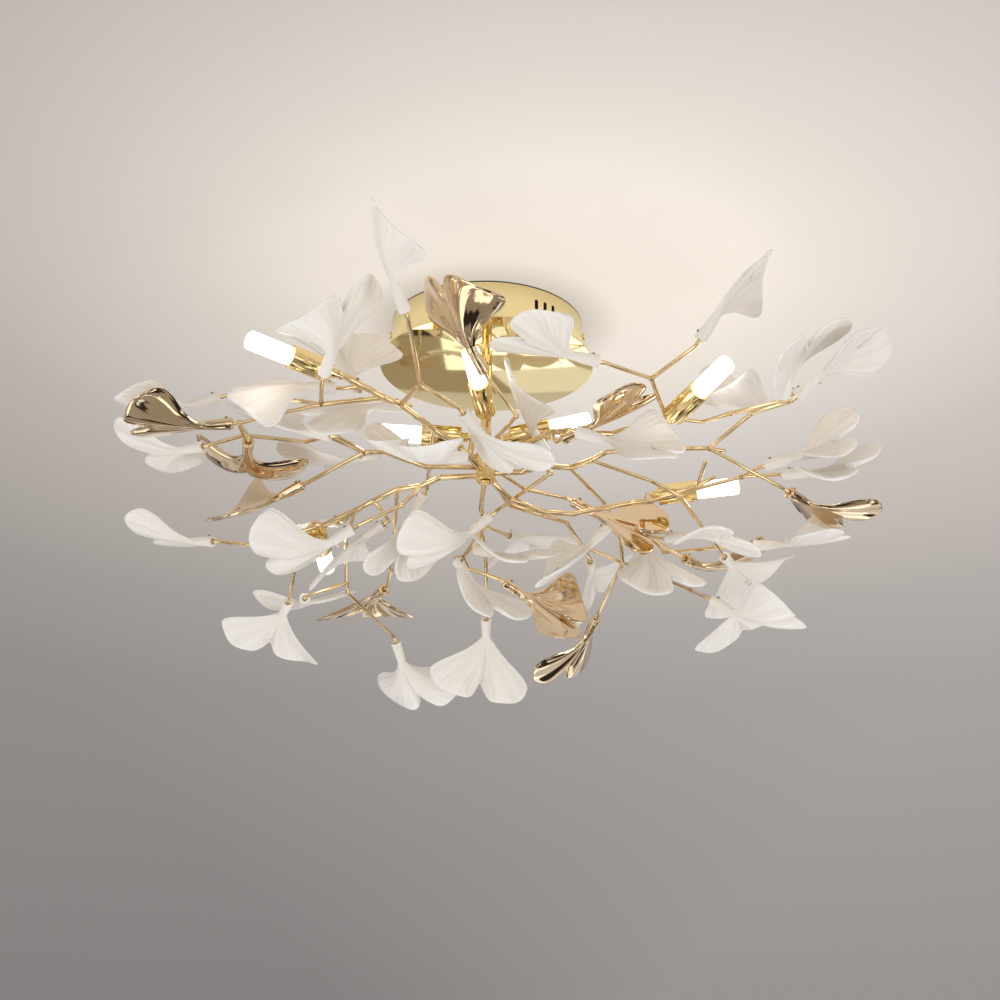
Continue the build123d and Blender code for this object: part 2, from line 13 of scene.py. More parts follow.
import bpy
from mathutils import Matrix, Vector


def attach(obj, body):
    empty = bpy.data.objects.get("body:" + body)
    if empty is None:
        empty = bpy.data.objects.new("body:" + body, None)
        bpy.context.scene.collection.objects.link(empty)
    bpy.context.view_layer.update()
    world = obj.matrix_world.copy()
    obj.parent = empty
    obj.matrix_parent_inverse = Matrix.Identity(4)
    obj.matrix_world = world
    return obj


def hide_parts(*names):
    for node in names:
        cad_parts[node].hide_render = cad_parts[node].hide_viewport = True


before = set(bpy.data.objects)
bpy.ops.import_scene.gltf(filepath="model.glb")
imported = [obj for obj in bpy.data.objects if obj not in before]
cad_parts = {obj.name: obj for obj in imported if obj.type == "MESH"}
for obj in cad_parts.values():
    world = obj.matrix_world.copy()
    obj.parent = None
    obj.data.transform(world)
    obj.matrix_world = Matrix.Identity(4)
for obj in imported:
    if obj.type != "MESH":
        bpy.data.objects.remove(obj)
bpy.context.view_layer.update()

scene = bpy.context.scene
scene.view_settings.view_transform = "Standard"
MM = 0.001

# %% [markdown]
# ## The camera
# The photograph was taken from below with a slightly long lens: the ellipses of the canopy fix where the
# camera stood and how far it looked up. The lens is worked out from that focal length in pixels, and the
# small roll is the tilt of the hand that held it.

# %% Camera
FOCAL_PIXELS = 1700.0
IMAGE_PIXELS = 1000.0
SENSOR = 36.0
CAMERA_PLACE = Vector((0.0148, -1.5787, -0.823))
CAMERA_UP = radians(21.75)
CAMERA_ROLL = radians(0.43)

bpy.ops.object.camera_add(location=CAMERA_PLACE)
camera = bpy.context.object
camera.rotation_euler = (Matrix.Rotation(radians(90) + CAMERA_UP, 4, "X")
                         @ Matrix.Rotation(CAMERA_ROLL, 4, "Z")).to_euler()
camera.data.sensor_width = SENSOR
camera.data.lens = SENSOR * FOCAL_PIXELS / IMAGE_PIXELS
scene.camera = camera
print("lens", round(camera.data.lens, 1))

# %% [markdown]
# ## Writing materials as sums
# A finish is easier to read as a sum than as a web of nodes. The first class below wraps the output of a
# node, so that `1 - mask * 0.5` adds the Math nodes by itself. The second one holds a material and makes
# any other node from its type, its settings and the values of its inputs.

# %% Sockets that can be added and multiplied
class Value:
    """The output of a node, on which ordinary sums can be written."""

    def __init__(self, finish, socket):
        self.finish = finish
        self.socket = socket

    def math(self, operation, first, second=0.0):
        return self.finish.node("ShaderNodeMath", {"operation": operation}, {0: first, 1: second})

    def __add__(self, other):
        return self.math("ADD", self, other)

    def __radd__(self, other):
        return self.math("ADD", other, self)

    def __sub__(self, other):
        return self.math("SUBTRACT", self, other)

    def __rsub__(self, other):
        return self.math("SUBTRACT", other, self)

    def __mul__(self, other):
        return self.math("MULTIPLY", self, other)

    def __rmul__(self, other):
        return self.math("MULTIPLY", other, self)

    def __abs__(self):
        return self.math("ABSOLUTE", self)

    def sine(self):
        return self.math("SINE", self)

    def highest(self, other):
        return self.math("MAXIMUM", self, other)

# %% Node graphs and finishes
class Graph:
    """A node tree, with short ways to add nodes to it."""

    def __init__(self, tree):
        self.tree = tree

    def feed(self, socket, value):
        """Link a value to a socket, or write a plain number or colour on it."""
        if isinstance(value, Value):
            self.tree.links.new(value.socket, socket)
        elif isinstance(value, tuple) and len(value) == 3 and len(socket.default_value) == 4:
            socket.default_value = (*value, 1.0)
        else:
            socket.default_value = value

    def node(self, kind, settings=None, inputs=None, output=0):
        """Any node: its settings first, then its inputs."""
        made = self.tree.nodes.new(kind)
        for setting, value in (settings or {}).items():
            if setting == "stops":
                self.stops(made.color_ramp, value)
            else:
                setattr(made, setting, value)
        for socket, value in (inputs or {}).items():
            self.feed(made.inputs[socket], value)
        return Value(self, made.outputs[output])

    def stops(self, ramp, stops):
        """Colours of a ramp, each at its place."""
        while len(ramp.elements) < len(stops):
            ramp.elements.new(1.0)
        for element, (place, colour) in zip(ramp.elements, stops):
            element.position = place
            element.color = (*colour, 1.0)

    def blend(self, factor, first, second):
        """One colour into another, by a factor from 0 to 1."""
        return self.node("ShaderNodeMix", {"data_type": "RGBA"}, {0: factor, 6: first, 7: second}, output=2)

    def dim(self, colour, factor):
        """A colour times a plain number."""
        return self.node("ShaderNodeVectorMath", {"operation": "SCALE"}, {0: colour, 3: factor})

    def span(self, value, low, high, first=0.0, last=1.0):
        """A value from low to high, as one from first to last, held at both ends."""
        return self.node("ShaderNodeMapRange", None, {0: value, 1: low, 2: high, 3: first, 4: last})

    def parts(self, vector):
        """The three numbers of a vector."""
        split = self.node("ShaderNodeSeparateXYZ", None, {0: vector})
        return [Value(self, output) for output in split.socket.node.outputs]

    def rays(self, *kinds):
        """1 for rays of these kinds and 0 for others."""
        path = self.node("ShaderNodeLightPath").socket.node
        total = Value(self, path.outputs[f"Is {kinds[0]} Ray"])
        for kind in kinds[1:]:
            total = total.highest(Value(self, path.outputs[f"Is {kind} Ray"]))
        return total


class Finish(Graph):
    """A material with a principled shader."""

    def __init__(self, name, **constants):
        self.material = bpy.data.materials.new(name)
        self.material.use_nodes = True
        super().__init__(self.material.node_tree)
        self.shader = self.tree.nodes["Principled BSDF"]
        for socket, value in constants.items():
            self.set(socket.replace("_", " ").title(), value)

    def set(self, name, value):
        self.feed(self.shader.inputs[name], value)

    def place(self):
        """Object coordinates, which here are metres in the shared frame."""
        return self.node("ShaderNodeTexCoord", output="Object")

    def noise(self, scale, detail=3.0):
        """Cloudy values from 0 to 1, finer with a larger scale."""
        return self.node("ShaderNodeTexNoise", None,
                         {"Vector": self.place(), "Scale": scale, "Detail": detail})

    def bump(self, height, distance, strength):
        """A relief that only the light sees, with its depth in metres."""
        self.set("Normal", self.node("ShaderNodeBump", None,
                                     {"Height": height, "Distance": distance, "Strength": strength}))

# %% [markdown]
# ## Finishes
# Cast resin leaves are white and satin, a little see-through where light falls on them, and have fine veins
# that run out from the stalk. The gold leaves come from the same moulds and are plated, so every fold
# bends their reflections. The veins could be cut into the mesh, but they are shallow, so a bump and
# painted shade in the valleys between them show them as well. They read the leaf's own UV map, which runs
# along and round it, and so does a painted highlight on the rim of the white leaves.

# %% Veins and folds of a leaf
# Radians of a sine from the middle line of a leaf to its side
VEINS = 30.0
FINE_VEINS = 93.0
FOLDS = 17.0


def leaf_map(finish):
    """How far a point lies along its leaf, and how far from its middle line, from -1 to 1."""
    along, round_leaf, _ = finish.parts(finish.node("ShaderNodeUVMap", {"uv_map": "UVMap"}))
    return along, 1.0 - abs(4.0 * round_leaf - 2.0)


def leaf_veins(finish):
    """Height of the veins, which run from the stalk to the edge on both faces."""
    along, across = leaf_map(finish)
    vein = (across * VEINS + finish.noise(18.0) * 2.0).sine()
    fine = (across * FINE_VEINS + finish.noise(40.0) * 3.0).sine()
    return (0.5 + 0.34 * vein + 0.16 * fine) * finish.span(along, 0.4, 0.8)


def leaf_folds(finish):
    """Height of a few broad folds, which a polished face shows as dark and bright streaks."""
    along, across = leaf_map(finish)
    return (across * FOLDS + finish.noise(12.0) * 3.0).sine() * finish.span(along, 0.35, 0.9)


def rim_highlight_mask(finish, wide):
    """Where the painted highlight goes: 1 on the very edge of a leaf, falling to 0 over a share of the
    leaf.
    """
    along, across = leaf_map(finish)
    side = finish.span(abs(across), 1.0 - wide, 1.0) * finish.span(along, 0.45, 0.6)
    return side.highest(finish.span(along, 1.0 - wide, 1.0))


print("veins", VEINS, "fine veins", FINE_VEINS, "folds", FOLDS)

# %% White leaves
# Painted shade: the valley colour darkens the resin between the veins, and also holds near the stalk, where
# the veins fade out
VEIN_VALLEY_SHADE = (0.845, 0.81, 0.755)
VEIN_RIDGE = (0.94, 0.91, 0.87)
# Painted highlight: the thick edge of a white leaf is painted paler, over a share of the leaf
RIM_PAINTED_HIGHLIGHT = (0.97, 0.96, 0.945)
RIM_HIGHLIGHT_SHARE = 0.16
LEAF_RELIEF = 0.0014


def white_leaf():
    """Satin white resin: painted shade a little darker between the veins, and a painted highlight palest on
    the thick rim.
    """
    finish = Finish("white_leaf", roughness=0.38, subsurface_weight=0.3, subsurface_scale=0.006,
                    subsurface_radius=(1.0, 0.9, 0.8), coat_weight=0.15, coat_roughness=0.2)
    cloud = finish.noise(22.0, detail=4.0)
    veins = leaf_veins(finish)
    # A cloudy tone, with painted shade in the valleys between the veins
    body = finish.blend(cloud * 0.35 + veins * 0.75, VEIN_VALLEY_SHADE, VEIN_RIDGE)
    # The painted highlight on the rim goes over the body colour
    finish.set("Base Color", finish.blend(rim_highlight_mask(finish, RIM_HIGHLIGHT_SHARE), body, RIM_PAINTED_HIGHLIGHT))
    finish.bump(leaf_folds(finish) * 0.7 + veins * 0.9 + cloud * 0.3, LEAF_RELIEF, 0.8)
    return finish.material


WHITE_LEAF = white_leaf()
print("finish", WHITE_LEAF.name, "with", len(WHITE_LEAF.node_tree.nodes), "nodes")

# %% Gold plated leaves
PLATE_DEEP = (0.71, 0.54, 0.35)
PLATE_PALE = (0.84, 0.67, 0.46)
PLATE_RELIEF = 0.0011


def gold_leaf():
    """Gold plate over the same resin, whose broad folds break up the reflections."""
    finish = Finish("gold_leaf", metallic=1.0)
    cloud = finish.noise(9.0, detail=3.0)
    finish.set("Base Color", finish.blend(cloud, PLATE_DEEP, PLATE_PALE))
    finish.set("Roughness", 0.04 + 0.05 * finish.noise(60.0))
    finish.bump(leaf_folds(finish) + leaf_veins(finish) * 0.15 + cloud * 0.8, PLATE_RELIEF, 0.6)
    return finish.material


GOLD_LEAF = gold_leaf()
print("finish", GOLD_LEAF.name, "with", len(GOLD_LEAF.node_tree.nodes), "nodes")

# %% [markdown]
# The rods are satin brass, because they are bent and brazed by hand, and the cups and the hub are turned
# and polished. The canopy has a paler lacquer, and its disc is a mirror. One function makes all four: a
# cloudy tone between two colours, a roughness and the depth of a grain too fine to see by itself.

# %% Brass of the rods, the cups and the canopy
def brass(name, pale, deep, smooth, grain):
    """Polished brass: a cloudy tone, a fine grain and a roughness that changes a little."""
    finish = Finish(name, metallic=1.0)
    tone = finish.noise(14.0, detail=4.0)
    speck = finish.noise(420.0, detail=2.0)
    finish.set("Base Color", finish.blend(tone, deep, pale))
    finish.set("Roughness", smooth + 0.08 * speck)
    finish.bump(speck, grain, 0.35)
    return finish.material


ROD_PALE, ROD_DEEP = (0.88, 0.71, 0.44), (0.72, 0.53, 0.30)
CUP_PALE, CUP_DEEP = (0.94, 0.77, 0.41), (0.85, 0.65, 0.30)
LACQUER_PALE, LACQUER_DEEP = (0.95, 0.83, 0.48), (0.91, 0.76, 0.40)
MIRROR_PALE, MIRROR_DEEP = (0.90, 0.77, 0.44), (0.86, 0.72, 0.39)
ROD_BRASS = brass("rod_brass", ROD_PALE, ROD_DEEP, 0.17, 0.00002)
CUP_BRASS = brass("cup_brass", CUP_PALE, CUP_DEEP, 0.09, 0.00004)
WALL_BRASS = brass("canopy_wall_brass", LACQUER_PALE, LACQUER_DEEP, 0.16, 0.00004)
DISC_BRASS = brass("canopy_disc_brass", MIRROR_PALE, MIRROR_DEEP, 0.012, 0.00001)
print("brass finishes", ROD_BRASS.name, CUP_BRASS.name, WALL_BRASS.name, DISC_BRASS.name)

# %% Steel, ceramic and plastic
def dull(name, light, dark, rough, metal=0.0, scale=60.0):
    """A plain finish with a mottled tone and grain, for small parts and parts out of sight."""
    finish = Finish(name, metallic=metal)
    speck = finish.noise(scale, detail=5.0)
    finish.set("Base Color", finish.blend(speck, dark, light))
    finish.set("Roughness", rough + 0.15 * speck)
    finish.bump(speck, 0.0001, 0.4)
    return finish.material


STEEL = dull("zinc_steel", (0.72, 0.72, 0.74), (0.50, 0.50, 0.53), 0.30, metal=1.0, scale=180.0)
SCREW_STEEL = dull("dark_screw_steel", (0.30, 0.27, 0.24), (0.12, 0.10, 0.09), 0.35, metal=1.0, scale=300.0)
PORCELAIN = dull("socket_porcelain", (0.90, 0.89, 0.86), (0.80, 0.79, 0.75), 0.45)
PLASTIC = dull("terminal_plastic", (0.86, 0.85, 0.80), (0.76, 0.75, 0.70), 0.50)
print("dull finishes", STEEL.name, SCREW_STEEL.name, PORCELAIN.name, PLASTIC.name)

# %% The lit bulb
BULB_STRENGTH = 6.0
LIT_WARM, LIT_PALE = (1.0, 0.90, 0.76), (1.0, 0.94, 0.84)
FROST_DEEP, FROST_PALE = (0.95, 0.93, 0.90), (1.0, 0.99, 0.97)
BULB_FOOT = (0.15, 0.115, 0.07)
FOOT_LOW, FOOT_HIGH = 0.66, 0.76


def lit_bulb():
    """Frosted glass with the light in it, and a warm, dim foot. The UV map goes up the side."""
    finish = Finish("lit_bulb", roughness=0.35, emission_strength=BULB_STRENGTH)
    haze = finish.noise(45.0)
    _, height, _ = finish.parts(finish.node("ShaderNodeUVMap", {"uv_map": "UVMap"}))
    lit = finish.blend(haze, LIT_WARM, LIT_PALE)
    finish.set("Base Color", finish.blend(haze, FROST_DEEP, FROST_PALE))
    finish.set("Emission Color", finish.blend(finish.span(height, FOOT_LOW, FOOT_HIGH), BULB_FOOT, lit))
    return finish.material


BULB_GLASS = lit_bulb()
print("finish", BULB_GLASS.name, "strength", BULB_STRENGTH)

# %% [markdown]
# ## Tools for modelling
# Every piece is modelled as by hand: a cylinder or a grid is added at its size, some faces are picked by
# where they look, and these are inset and pushed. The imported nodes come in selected, so everything is
# deselected first. A finished piece gets its place in its mesh, a smooth shade that stops at sharp edges,
# the body that it rides on and the node that it replaces.

# %% Helpers for operators
bpy.ops.object.select_all(action="DESELECT")
LEVEL = 0.9


def select_only(*objects):
    bpy.ops.object.select_all(action="DESELECT")
    for item in objects:
        item.select_set(True)
    bpy.context.view_layer.objects.active = objects[0]


def leave():
    bpy.ops.object.mode_set(mode="OBJECT")


def edit(piece, action="DESELECT"):
    """Enter edit mode with no face selected, or with all of them."""
    select_only(piece)
    bpy.ops.object.mode_set(mode="EDIT")
    bpy.ops.mesh.select_mode(type="FACE")
    bpy.ops.mesh.select_all(action=action)


def pick_faces(piece, way):
    """Select the faces that look up, with way 1, or down, with way -1, and stay in edit mode."""
    edit(piece)
    leave()
    for face in piece.data.polygons:
        face.select = face.normal.z * way > LEVEL
    bpy.ops.object.mode_set(mode="EDIT")


def inset(width):
    """Inset the picked faces, in millimetres."""
    bpy.ops.mesh.inset(thickness=width * MM)


def push(distance):
    """Extrude the picked faces along Z, in millimetres."""
    bpy.ops.mesh.extrude_region_move(TRANSFORM_OT_translate={"value": (0, 0, distance * MM)})


def settle(piece):
    """Write the place, turn and size of an object into its mesh."""
    select_only(piece)
    bpy.ops.object.transform_apply(location=True, rotation=True, scale=True)


def upright(vertices, radius, low, high, x=0.0):
    """A cylinder along Z between two heights, in millimetres."""
    bpy.ops.mesh.primitive_cylinder_add(vertices=vertices, radius=radius * MM, depth=(high - low) * MM,
                                        location=(x * MM, 0, (low + high) / 2 * MM))
    piece = bpy.context.object
    settle(piece)
    return piece


def bevel(piece, width, segments=2, angle=40.0):
    """Round the sharp edges with a modifier, in millimetres, and apply it."""
    select_only(piece)
    rounding = piece.modifiers.new("rounding", "BEVEL")
    rounding.width = width * MM
    rounding.segments = segments
    rounding.limit_method = "ANGLE"
    rounding.angle_limit = radians(angle)
    bpy.ops.object.modifier_apply(modifier=rounding.name)


def join(name, parts):
    """Several meshes as one piece."""
    select_only(*parts)
    if len(parts) > 1:
        bpy.ops.object.join()
    parts[0].name = name
    return parts[0]


def copy_of(model, place):
    """A copy with its own mesh, put at a place."""
    piece = model.copy()
    piece.data = model.data.copy()
    piece.data.transform(place)
    bpy.context.collection.objects.link(piece)
    return piece


def dress(piece, material):
    """Give a piece one material, in place of any it has."""
    piece.data.materials.clear()
    piece.data.materials.append(material)


def hand_over(piece, material, slot, *nodes, body="fixture", smooth=35.0):
    """Material, shading, body and the nodes that the piece stands for."""
    dress(piece, material)
    select_only(piece)
    bpy.ops.object.shade_smooth_by_angle(angle=radians(smooth))
    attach(piece, body)
    if nodes:
        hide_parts(*nodes)


# %% [markdown]
# ## One leaf
# A real leaf is cast in one piece: a round collar with a bore for the twig, a stalk that flattens, and a
# fan with a notch, soft folds and a thick rounded edge. It could be sculpted, but the fan follows a simple
# law, so it is made another way: a grid is rolled into a closed skin, ring by ring, from the floor of the
# bore out over the collar to the edge of the fan. The grid brings its UV map along, for the veins.
# Four moulds differ in how the fan bends, and each is also cast the other way round.

# %% Sizes and moulds of the leaf
# In millimetres, degrees and shares of the reach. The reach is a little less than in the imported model,
# because the edge is a curve here and has corners there.
LEAF_REACH = 92.2
COLLAR_RADIUS = 6.2
COLLAR_LENGTH = 12.0
BORE_RADIUS = 2.35
BORE_DEPTH = 9.5
STALK_SHARE = 0.2
FAN_SHARE = 0.42
FAN_HALF_ANGLE = 62.0
STALK_HALF_ANGLE = 14.0
NOTCH_DEPTH = 0.34
NOTCH_WIDTH = 0.075
LOBE_DEPTH = 0.022
LOBE_WAVES = 1.6
WING_DROP = 0.30
TWIST_WAVES = 1.3
FOLD_HEIGHT, FOLD_WAVES = 1.5, 9.5
SMALL_FOLD_HEIGHT, SMALL_FOLD_WAVES = 0.55, 17.0
# Rise of the middle and of the sides, twist, and where the folds begin
MOULDS = {
    "fold": (4.0, 20.0, 0.0, 0.4),
    "lift": (26.0, 12.0, 0.0, 1.7),
    "wave": (-8.0, -14.0, 7.0, 2.9),
    "bowl": (34.0, 26.0, 0.0, 4.1),
}
print("moulds", *MOULDS, "reach", LEAF_REACH)

# %% The middle surface of the fan
def fan_point(mould, along, across):
    """Along runs from the collar to the edge, across from side to side."""
    middle, sides, twist, shift = MOULDS[mould]
    notch = NOTCH_DEPTH * exp(-((across / NOTCH_WIDTH) ** 2))
    lobes = LOBE_DEPTH * (1.0 - cos(2.0 * pi * abs(across) * LOBE_WAVES + shift)) * along**6
    radius = LEAF_REACH * along * (1.0 - WING_DROP * across**4 - notch * along**4 - lobes)
    spread = STALK_HALF_ANGLE + (FAN_HALF_ANGLE - STALK_HALF_ANGLE) * along**1.3
    angle = radians(spread) * across
    bend = max(0.0, (along - STALK_SHARE) / (1.0 - STALK_SHARE))
    rise = middle * bend**2 + sides * bend**1.5 * across**2
    rise += twist * bend * sin(TWIST_WAVES * pi * across)
    folds = FOLD_HEIGHT * sin(FOLD_WAVES * across + shift)
    folds += SMALL_FOLD_HEIGHT * sin(SMALL_FOLD_WAVES * across + 2.0 * shift)
    rise += folds * bend * (1.0 - 0.4 * bend)
    return COLLAR_LENGTH + radius * cos(angle), radius * sin(angle), rise


print("a wing of the fold mould, in mm", [round(value, 1) for value in fan_point("fold", 1.0, 0.5)])

# %% Rings of the skin
# Points round a ring, where the wings start to be rounded off and by how much, how far the points are
# drawn from even steps, and how square the side edge is
ROUND_COUNT = 56
WING_START = 0.66
WING_CUT = 0.22
UNEVEN = 0.65
EDGE_SQUARE = 16
# Each ring of the fan is a share along it and half the thickness there, and the last closes the edge
FAN_RINGS = [
    (0.20, 3.40), (0.24, 3.15), (0.28, 2.85), (0.33, 2.50), (0.38, 2.20), (0.43, 2.00), (0.50, 1.90),
    (0.57, 1.85), (0.64, 1.85), (0.71, 1.85), (0.78, 1.80), (0.84, 1.80), (0.89, 1.75), (0.93, 1.70),
    (0.955, 1.65), (0.975, 1.50), (0.99, 1.10), (0.998, 0.60), (1.0, 0.0),
]
# Each ring of the bore and the collar is a radius and a place along the axis
COLLAR_RINGS = [
    (0.0, BORE_DEPTH), (BORE_RADIUS, BORE_DEPTH), (BORE_RADIUS, 0.7), (BORE_RADIUS + 0.5, 0.0),
    (5.4, 0.0), (6.1, 0.5), (COLLAR_RADIUS, 1.6), (6.05, 3.2), (5.75, 5.5), (5.6, 8.5), (5.55, 12.0),
    (5.45, 15.5),
]
print("rings", len(COLLAR_RINGS), "and", len(FAN_RINGS))


def mix(first, second, share):
    return first + (second - first) * share


def soft_step(low, high, value):
    """0 below low, 1 above high, with a smooth change between."""
    share = min(1.0, max(0.0, (value - low) / (high - low)))
    return share * share * (3.0 - 2.0 * share)


def ring_place(index):
    """Where a point of a ring lies from side to side, and the sign of its face."""
    turn = (index % ROUND_COUNT) / ROUND_COUNT
    face = 1.0 if turn < 0.5 else -1.0
    return 1.0 - abs(4.0 * turn - 2.0), face


def collar_point(radius, x, across, face):
    return x, radius * sin(pi / 2 * across), face * radius * cos(pi / 2 * across)


def wing_round(along):
    """How far the fan reaches to the side: less near its edge, so that the tips of the wings are round."""
    late = max(0.0, (along - WING_START) / (1.0 - WING_START))
    return 1.0 - WING_CUT * (1.0 - (1.0 - late * late) ** 0.5)


def blade_point(mould, along, half, across, face):
    """A point of the fan, with a rounded side edge."""
    fan = soft_step(STALK_SHARE, FAN_SHARE, along)
    spaced = (across - UNEVEN * sin(2.0 * pi * across) / (2.0 * pi)) * wing_round(along)
    x, y, rise = fan_point(mould, along, mix(sin(pi / 2 * across), spaced, fan))
    blunt = (1.0 - abs(spaced / wing_round(along)) ** EDGE_SQUARE) ** 0.5
    return x, y, rise + face * half * mix(cos(pi / 2 * across), blunt, fan)

# %% Roll a grid into a leaf
def leaf_model(mould, hand):
    """One leaf at the origin, with its stalk along +X, in metres."""
    rings = len(COLLAR_RINGS) + len(FAN_RINGS)
    bpy.ops.mesh.primitive_grid_add(x_subdivisions=rings - 1, y_subdivisions=ROUND_COUNT, size=1.0)
    piece = bpy.context.object
    for vertex in piece.data.vertices:
        ring = round((vertex.co.x + 0.5) * (rings - 1))
        across, face = ring_place(round((vertex.co.y + 0.5) * ROUND_COUNT))
        if ring < len(COLLAR_RINGS):
            radius, x = COLLAR_RINGS[ring]
            point = collar_point(radius, x, across, face)
        else:
            along, half = FAN_RINGS[ring - len(COLLAR_RINGS)]
            point = blade_point(mould, along, half, across, face)
        vertex.co = (point[0] * MM, hand * point[1] * MM, point[2] * MM)
    edit(piece, "SELECT")
    bpy.ops.mesh.remove_doubles(threshold=0.02 * MM)
    bpy.ops.mesh.normals_make_consistent(inside=False)
    leave()
    smoothing = piece.modifiers.new("smoothing", "SUBSURF")
    smoothing.levels = 1
    smoothing.render_levels = 1
    bpy.ops.object.modifier_apply(modifier=smoothing.name)
    piece.name = f"mould_{mould}_{hand}"
    print("mould", mould, "hand", hand, "with", len(piece.data.polygons), "faces")
    return piece


leaf_models = {}


def leaf_copy(mould, hand, place):
    """A leaf from the mould at its place, modelled when it is first asked for."""
    if (mould, hand) not in leaf_models:
        leaf_models[(mould, hand)] = leaf_model(mould, hand)
    return copy_of(leaf_models[(mould, hand)], place)

# %% [markdown]
# ## The grub screw of a leaf
# A small screw without a head holds each leaf on its twig. It starts as a short cylinder: its top is
# inset and pushed in for the drive, and a bevel softens the rim. The screws are one piece, made of copies.

# %% Grub screw
GRUB_RADIUS = 1.35
GRUB_HEIGHT = 1.9
GRUB_SUNK = 1.2
GRUB_PLACE = 6.0
GRUB_RIM = 0.55
GRUB_DRIVE = 0.7


def grub_screw():
    """A screw that stands out of the wall of a collar, with its axis along +Z."""
    low = COLLAR_RADIUS - GRUB_SUNK
    piece = upright(12, GRUB_RADIUS, low, low + GRUB_HEIGHT, x=GRUB_PLACE)
    pick_faces(piece, 1)
    inset(GRUB_RIM)
    push(-GRUB_DRIVE)
    leave()
    bevel(piece, 0.12, segments=1)
    piece.name = "grub_screw_model"
    return piece


GRUB_MODEL = grub_screw()
print("grub screw", len(GRUB_MODEL.data.polygons), "faces")

# %% [markdown]
# ## Cup lamps
# Each lamp is a turned brass cup on the end of its neck, a ceramic socket on the floor of the cup and a
# capsule bulb in the socket. The cup starts as a cylinder: its mouth is inset and pushed down for the
# hollow, its floor is inset and pulled out for the boss on the neck, and a bevel rounds the rims. Two
# small screws near the mouth clamp the socket. The bulb is a cylinder with a wide bevel at the tip.

# %% Sizes of a lamp, in millimetres along its axis
CUP_RADIUS = 11.0
CUP_LENGTH = 40.0
CUP_WALL = 1.2
CUP_BASE = 1.5
BOSS_RADIUS = 5.0
BOSS_LENGTH = 7.0
BULB_RADIUS = 8.75
BULB_LOW = 18.1
BULB_LENGTH = 66.0
PIN_SPACING = 9.0
PIN_RADIUS = 0.9
PIN_LENGTH = 6.0
NECK_SETBACK = 12.0
print("cup", CUP_RADIUS, CUP_LENGTH, "bulb", BULB_RADIUS, BULB_LENGTH)

# %% Cup
BOSS_STEP = 0.8
RIM_SCREW_DROP = 6.0
RIM_SCREW_RADIUS = 1.5
RIM_SCREW_SUNK = 0.3
RIM_SCREW_STAND = 1.1
RIM_SCREW_RIM = 0.7
RIM_SCREW_DRIVE = 0.5


def rim_screw(side):
    """One of the two small screws near the mouth of a cup, which clamp the socket."""
    head = upright(16, RIM_SCREW_RADIUS, CUP_RADIUS - RIM_SCREW_SUNK, CUP_RADIUS + RIM_SCREW_STAND)
    pick_faces(head, 1)
    inset(RIM_SCREW_RIM)
    push(-RIM_SCREW_DRIVE)
    leave()
    bevel(head, 0.2, segments=1)
    head.data.transform(Matrix.Translation((0, 0, (CUP_LENGTH - RIM_SCREW_DROP) * MM))
                        @ Matrix.Rotation(side * pi / 2, 4, "X"))
    return head


def lamp_cup():
    """A cup with its mouth up, a wall, a floor and the boss that takes the neck."""
    cup = upright(64, CUP_RADIUS, 0, CUP_LENGTH)
    pick_faces(cup, 1)
    inset(CUP_WALL)
    push(CUP_BASE - CUP_LENGTH)
    leave()
    pick_faces(cup, -1)
    inset(CUP_RADIUS - BOSS_RADIUS - BOSS_STEP)
    push(-BOSS_STEP)
    inset(BOSS_STEP)
    push(BOSS_STEP - BOSS_LENGTH)
    leave()
    bevel(cup, 0.35)
    return join("cup_model", [cup, *(rim_screw(side) for side in (-1, 1))])


CUP_MODEL = lamp_cup()
print("cup", len(CUP_MODEL.data.polygons), "faces")

# %% Bulb and its pins
BULB_TIP = 4.2


def lamp_bulb():
    bulb = upright(40, BULB_RADIUS, BULB_LOW, BULB_LOW + BULB_LENGTH)
    bevel(bulb, BULB_TIP, segments=6)
    bulb.name = "bulb_model"
    return bulb


def bulb_pins():
    pins = [upright(12, PIN_RADIUS, BULB_LOW - PIN_LENGTH, BULB_LOW + 1, x=side * PIN_SPACING / 2)
            for side in (-1, 1)]
    pair = join("pins_model", pins)
    bevel(pair, 0.3)
    return pair


BULB_MODEL = lamp_bulb()
PINS_MODEL = bulb_pins()
print("bulb", len(BULB_MODEL.data.polygons), "pins", len(PINS_MODEL.data.polygons), "faces")

# %% [markdown]
# ## Rods
# The branches are bent brass rods, brazed where they meet, and most ends stand a little past the joint.
# A curve with a round profile would be one way. Straight cylinders with a ball in each bend are nearer
# to the real thing, because the bends of thin rod are short and sharp, and a small bead of braze sits
# at each joint. A rod is a list of joints in millimetres in the frame of the model.

# %% Rod
ROD_SIDES = 24
MAIN_ROD = 6.0
BRANCH_ROD = 5.0
TWIG_ROD = 4.0
HUB_RADIUS = 10.0
HUB_SOCKET_DEPTH = 2.6
TWIG_STRAIGHT = 7.0
SEAT_GAP = 0.3
BEAD = 0.8


def straight(diameter, start, end):
    """A cylinder from one point to another."""
    along = end - start
    bpy.ops.mesh.primitive_cylinder_add(
        vertices=ROD_SIDES, radius=diameter / 2 * MM, depth=along.length * MM,
        location=(start + end) / 2 * MM, rotation=along.to_track_quat("Z", "Y").to_euler())
    piece = bpy.context.object
    settle(piece)
    return piece


def ball(radius, at):
    """A ball, which closes a bend or makes a bead of braze."""
    bpy.ops.mesh.primitive_uv_sphere_add(segments=ROD_SIDES, ring_count=ROD_SIDES // 2,
                                         radius=radius * MM, location=at * MM)
    piece = bpy.context.object
    settle(piece)
    return piece


